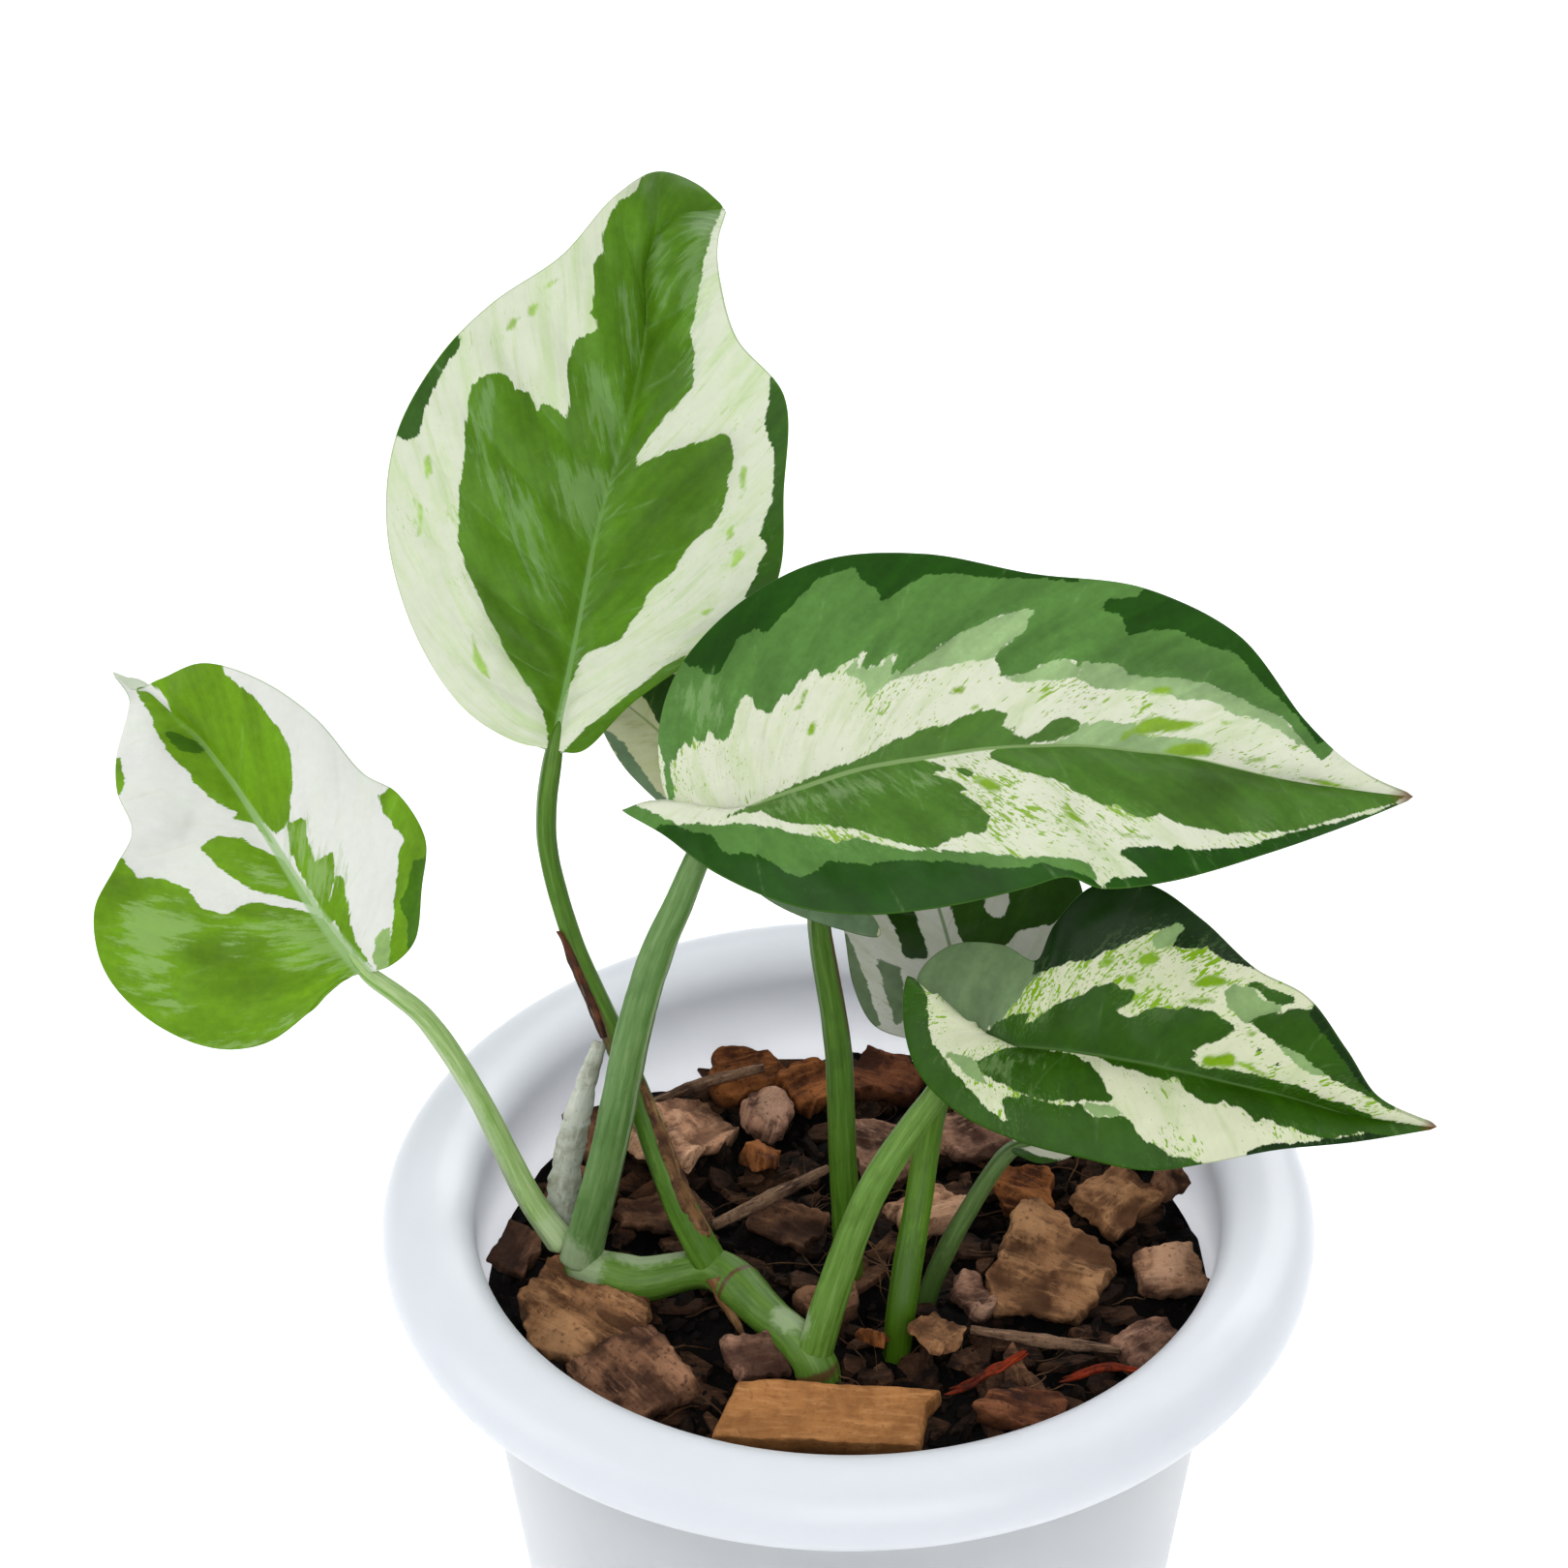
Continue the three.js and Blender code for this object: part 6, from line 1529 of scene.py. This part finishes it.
def sheath_material(name, tree, dark, middle, light, roughness):
    """Dry sheath: the bark's fibres, thin enough to let some light through."""
    material = bark_material(name, tree, dark, middle, light, 0.6, roughness, 0.0002)
    shader = material.node_tree.nodes["Principled BSDF"].inputs
    shader["Subsurface Weight"].default_value = 0.15
    shader["Subsurface Radius"].default_value = (0.002, 0.0012, 0.0006)
    return material


def make_sheaths(tree):
    """Dry sheaths: a pale one that stands at the left knuckle, a brown tail with a wing along the tall
    leaf's petiole, and a dark strip on that petiole's left side."""
    pale = sheath_material("pale_dry_sheath", tree, (132, 134, 118), (168, 172, 160), (192, 196, 186), 0.6)
    brown = sheath_material("brown_dry_sheath", tree, (50, 28, 18), (104, 74, 44), (140, 112, 76), 0.65)
    dark = sheath_material("dark_dry_sheath", tree, (30, 14, 6), (68, 36, 18), (104, 58, 32), 0.6)
    points = ((-28.5, 3.5, 105), (-31, 2, 97), (-33, 1.5, 88), (-34, 0.5, 82), (-34, -0.5, 78.5))
    standing = ribbon(points, (1.7, 2.7, 3.6, 4, 2.4), (0.3, -0.8, 0.5), fold=-0.22, seed=3, thickness=0.3)
    finished(show("standing_sheath", standing), pale, "pale_sheath", "pale_sheath")
    points = ((-16, -8.9, 79.5), (-15, -9.8, 77.3), (-13, -12.8, 75), (-11.8, -14.8, 74.5))
    tail = ribbon(points, (2.4, 2.2, 1.6, 0.8), (-0.4, -0.8, 0.4), fold=-0.2, twist=0.7, seed=5)
    points, up = beside_stem("petiole_tall", (0.62, 0.7, 0.78, 0.86, 0.94), -52, (0, 0.1, 0.1, 0, -0.1))
    wing = ribbon(points, (0.6, 1.6, 2.2, 2.4, 2.2), up, fold=-0.14, seed=8)
    finished(show("hanging_sheath", tail, wing), brown, "brown_sheath", "sheath_tail")
    points, up = beside_stem("petiole_tall", (0.35, 0.37, 0.41, 0.47, 0.55), 36, (0.5, 0.2, 0.1, 0.06, 0.0))
    edge = ribbon(points, (0.7, 1.4, 1.7, 1.8, 1.2), up, fold=-0.15, seed=12)
    finished(show("sheath_edge", edge), dark, "brown_sheath")


# Twigs and fibres, as in the CAD source: points and radii
TWIGS = {
    "twig_middle": (((-16, 3, 77.6), (-9, 8, 77.8), (-2, 13, 78)), (0.7, 0.9, 0.5)),
    "twig_right": (((14, -15, 76.6), (22, -17, 76.6), (31, -18.5, 76.3)), (0.5, 0.8, 0.5)),
    "twig_back": (((-26, 27, 76.6), (-18, 31, 77.4), (-10, 33.5, 78)), (0.5, 0.8, 0.6)),
}
FIBRES = {
    "fibre_front": (((11, -25, 76), (16, -22.5, 76.8), (20, -20.5, 78)), (0.9, 1.2, 0.6)),
    "fibre_right": (((24, -23, 75.8), (29, -21.5, 76.4), (34, -22, 76)), (0.6, 1, 0.5)),
}
TWIG_COLUMNS = 20
STRANDS = 7


def make_twigs(tree):
    """Twigs are knobbly tubes. A fibre is a bundle of thin tubes that wander round its curve by noise and
    thin out towards both ends by the root of 4t(1-t)."""
    twig_bark = bark_material("twig_bark", tree, (50, 34, 26), (104, 80, 62), (140, 112, 90), 1.0, 0.8)
    turn, round_it = circle(TWIG_COLUMNS)
    for name, (points, radii) in TWIGS.items():
        share = np.linspace(0, 1, 60)
        line = curve_at(points, share)
        place = line[:, None] + round_it
        section = 1 + 0.16 * noise(place, 1.3, 4) + 0.05 * np.cos(7 * turn) + 0.06 * noise(place, 0.5, 9)
        twig = tube(line, np.interp(share, (0, 0.5, 1), radii), TWIG_COLUMNS, section)
        finished(show(name + "_bark", twig), twig_bark, "twig", name)
    red = bark_material("red_husk_fibre", tree, (48, 12, 2), (114, 34, 8), (150, 66, 32), 0.5, 0.8)
    share = np.linspace(0, 1, 40)
    for name, (points, radii) in FIBRES.items():
        strands = []
        for number in range(STRANDS):
            width = np.interp(share, (0, 0.5, 1), radii)[:, None]
            at = np.stack([share * 12, share * 0, share * 0], axis=-1)
            wander = np.stack([noise(at, 4.0, number * 3 + axis) for axis in range(3)], axis=-1)
            line = curve_at(points, share) + width * (0.75 * wander * (1, 1, 0.5))
            thin = (0.22 + 0.06 * (number % 3)) * np.sqrt(np.clip(4 * share * (1 - share), 0.02, 1))
            strands.append(tube(line, thin, columns=8))
        finished(show(name + "_strands", *strands), red, "red_fibre", name)


# Stage: camera, light and floor. Each soft box has its place and size in metres and its power in watts
SOFTBOXES = {
    "softbox_front": ((0.3, -2.5, 2.2), 2.6, 66.0),
    "softbox_left": ((-2.6, -0.3, 1.9), 2.0, 36.0),
    "softbox_back": ((1.4, 2.3, 2.1), 2.2, 44.0),
}
LIGHTS_AIM = (0, 0, 0.1)
FLOOR_REACH = 2.5


def make_stage():
    scene = bpy.context.scene
    camera = bpy.data.objects.new("camera", bpy.data.cameras.new("camera"))
    scene.collection.objects.link(camera)
    right, up, forward = camera_axes()
    pose = np.eye(4)
    pose[:3, :3] = np.stack([right, up, -forward], axis=1)
    pose[:3, 3] = CAMERA_PLACE * MM
    camera.matrix_world = Matrix(pose.tolist())
    camera.data.sensor_width = SENSOR_WIDTH
    camera.data.lens = SENSOR_WIDTH * FOCAL_PIXELS / FRAME_PIXELS
    camera.data.clip_start = 0.01
    scene.camera = camera
    scene.view_settings.view_transform = "Standard"

    world = bpy.data.worlds.new("studio")
    world.use_nodes = True
    background = world.node_tree.nodes["Background"].inputs
    background["Color"].default_value = (0.97, 0.985, 1, 1)
    background["Strength"].default_value = 1.0
    scene.world = world
    for name, (place, size, power) in SOFTBOXES.items():
        light = bpy.data.lights.new(name, "AREA")
        light.size = size
        light.energy = power
        lamp = bpy.data.objects.new(name, light)
        lamp.location = place
        aim = Vector(LIGHTS_AIM) - lamp.location
        lamp.rotation_euler = aim.to_track_quat("-Z", "Y").to_euler()
        scene.collection.objects.link(lamp)

    corners = [(x * FLOOR_REACH, y * FLOOR_REACH, 0) for x, y in ((-1, -1), (1, -1), (1, 1), (-1, 1))]
    mesh = bpy.data.meshes.new("floor")
    mesh.from_pydata(corners, [], [(0, 1, 2, 3)])
    floor = bpy.data.objects.new("floor", mesh)
    scene.collection.objects.link(floor)
    paper, _, shader = new_material("floor_paper", 0.8)
    shader["Base Color"].default_value = (0.96, 0.96, 0.96, 1)
    mesh.materials.append(paper)


make_stage()
bark = bark_group()
make_leaves()
make_pot()
make_stems()
make_sheaths(bark)
make_chips(bark)
make_medium(bark)
make_litter(bark)
make_twigs(bark)
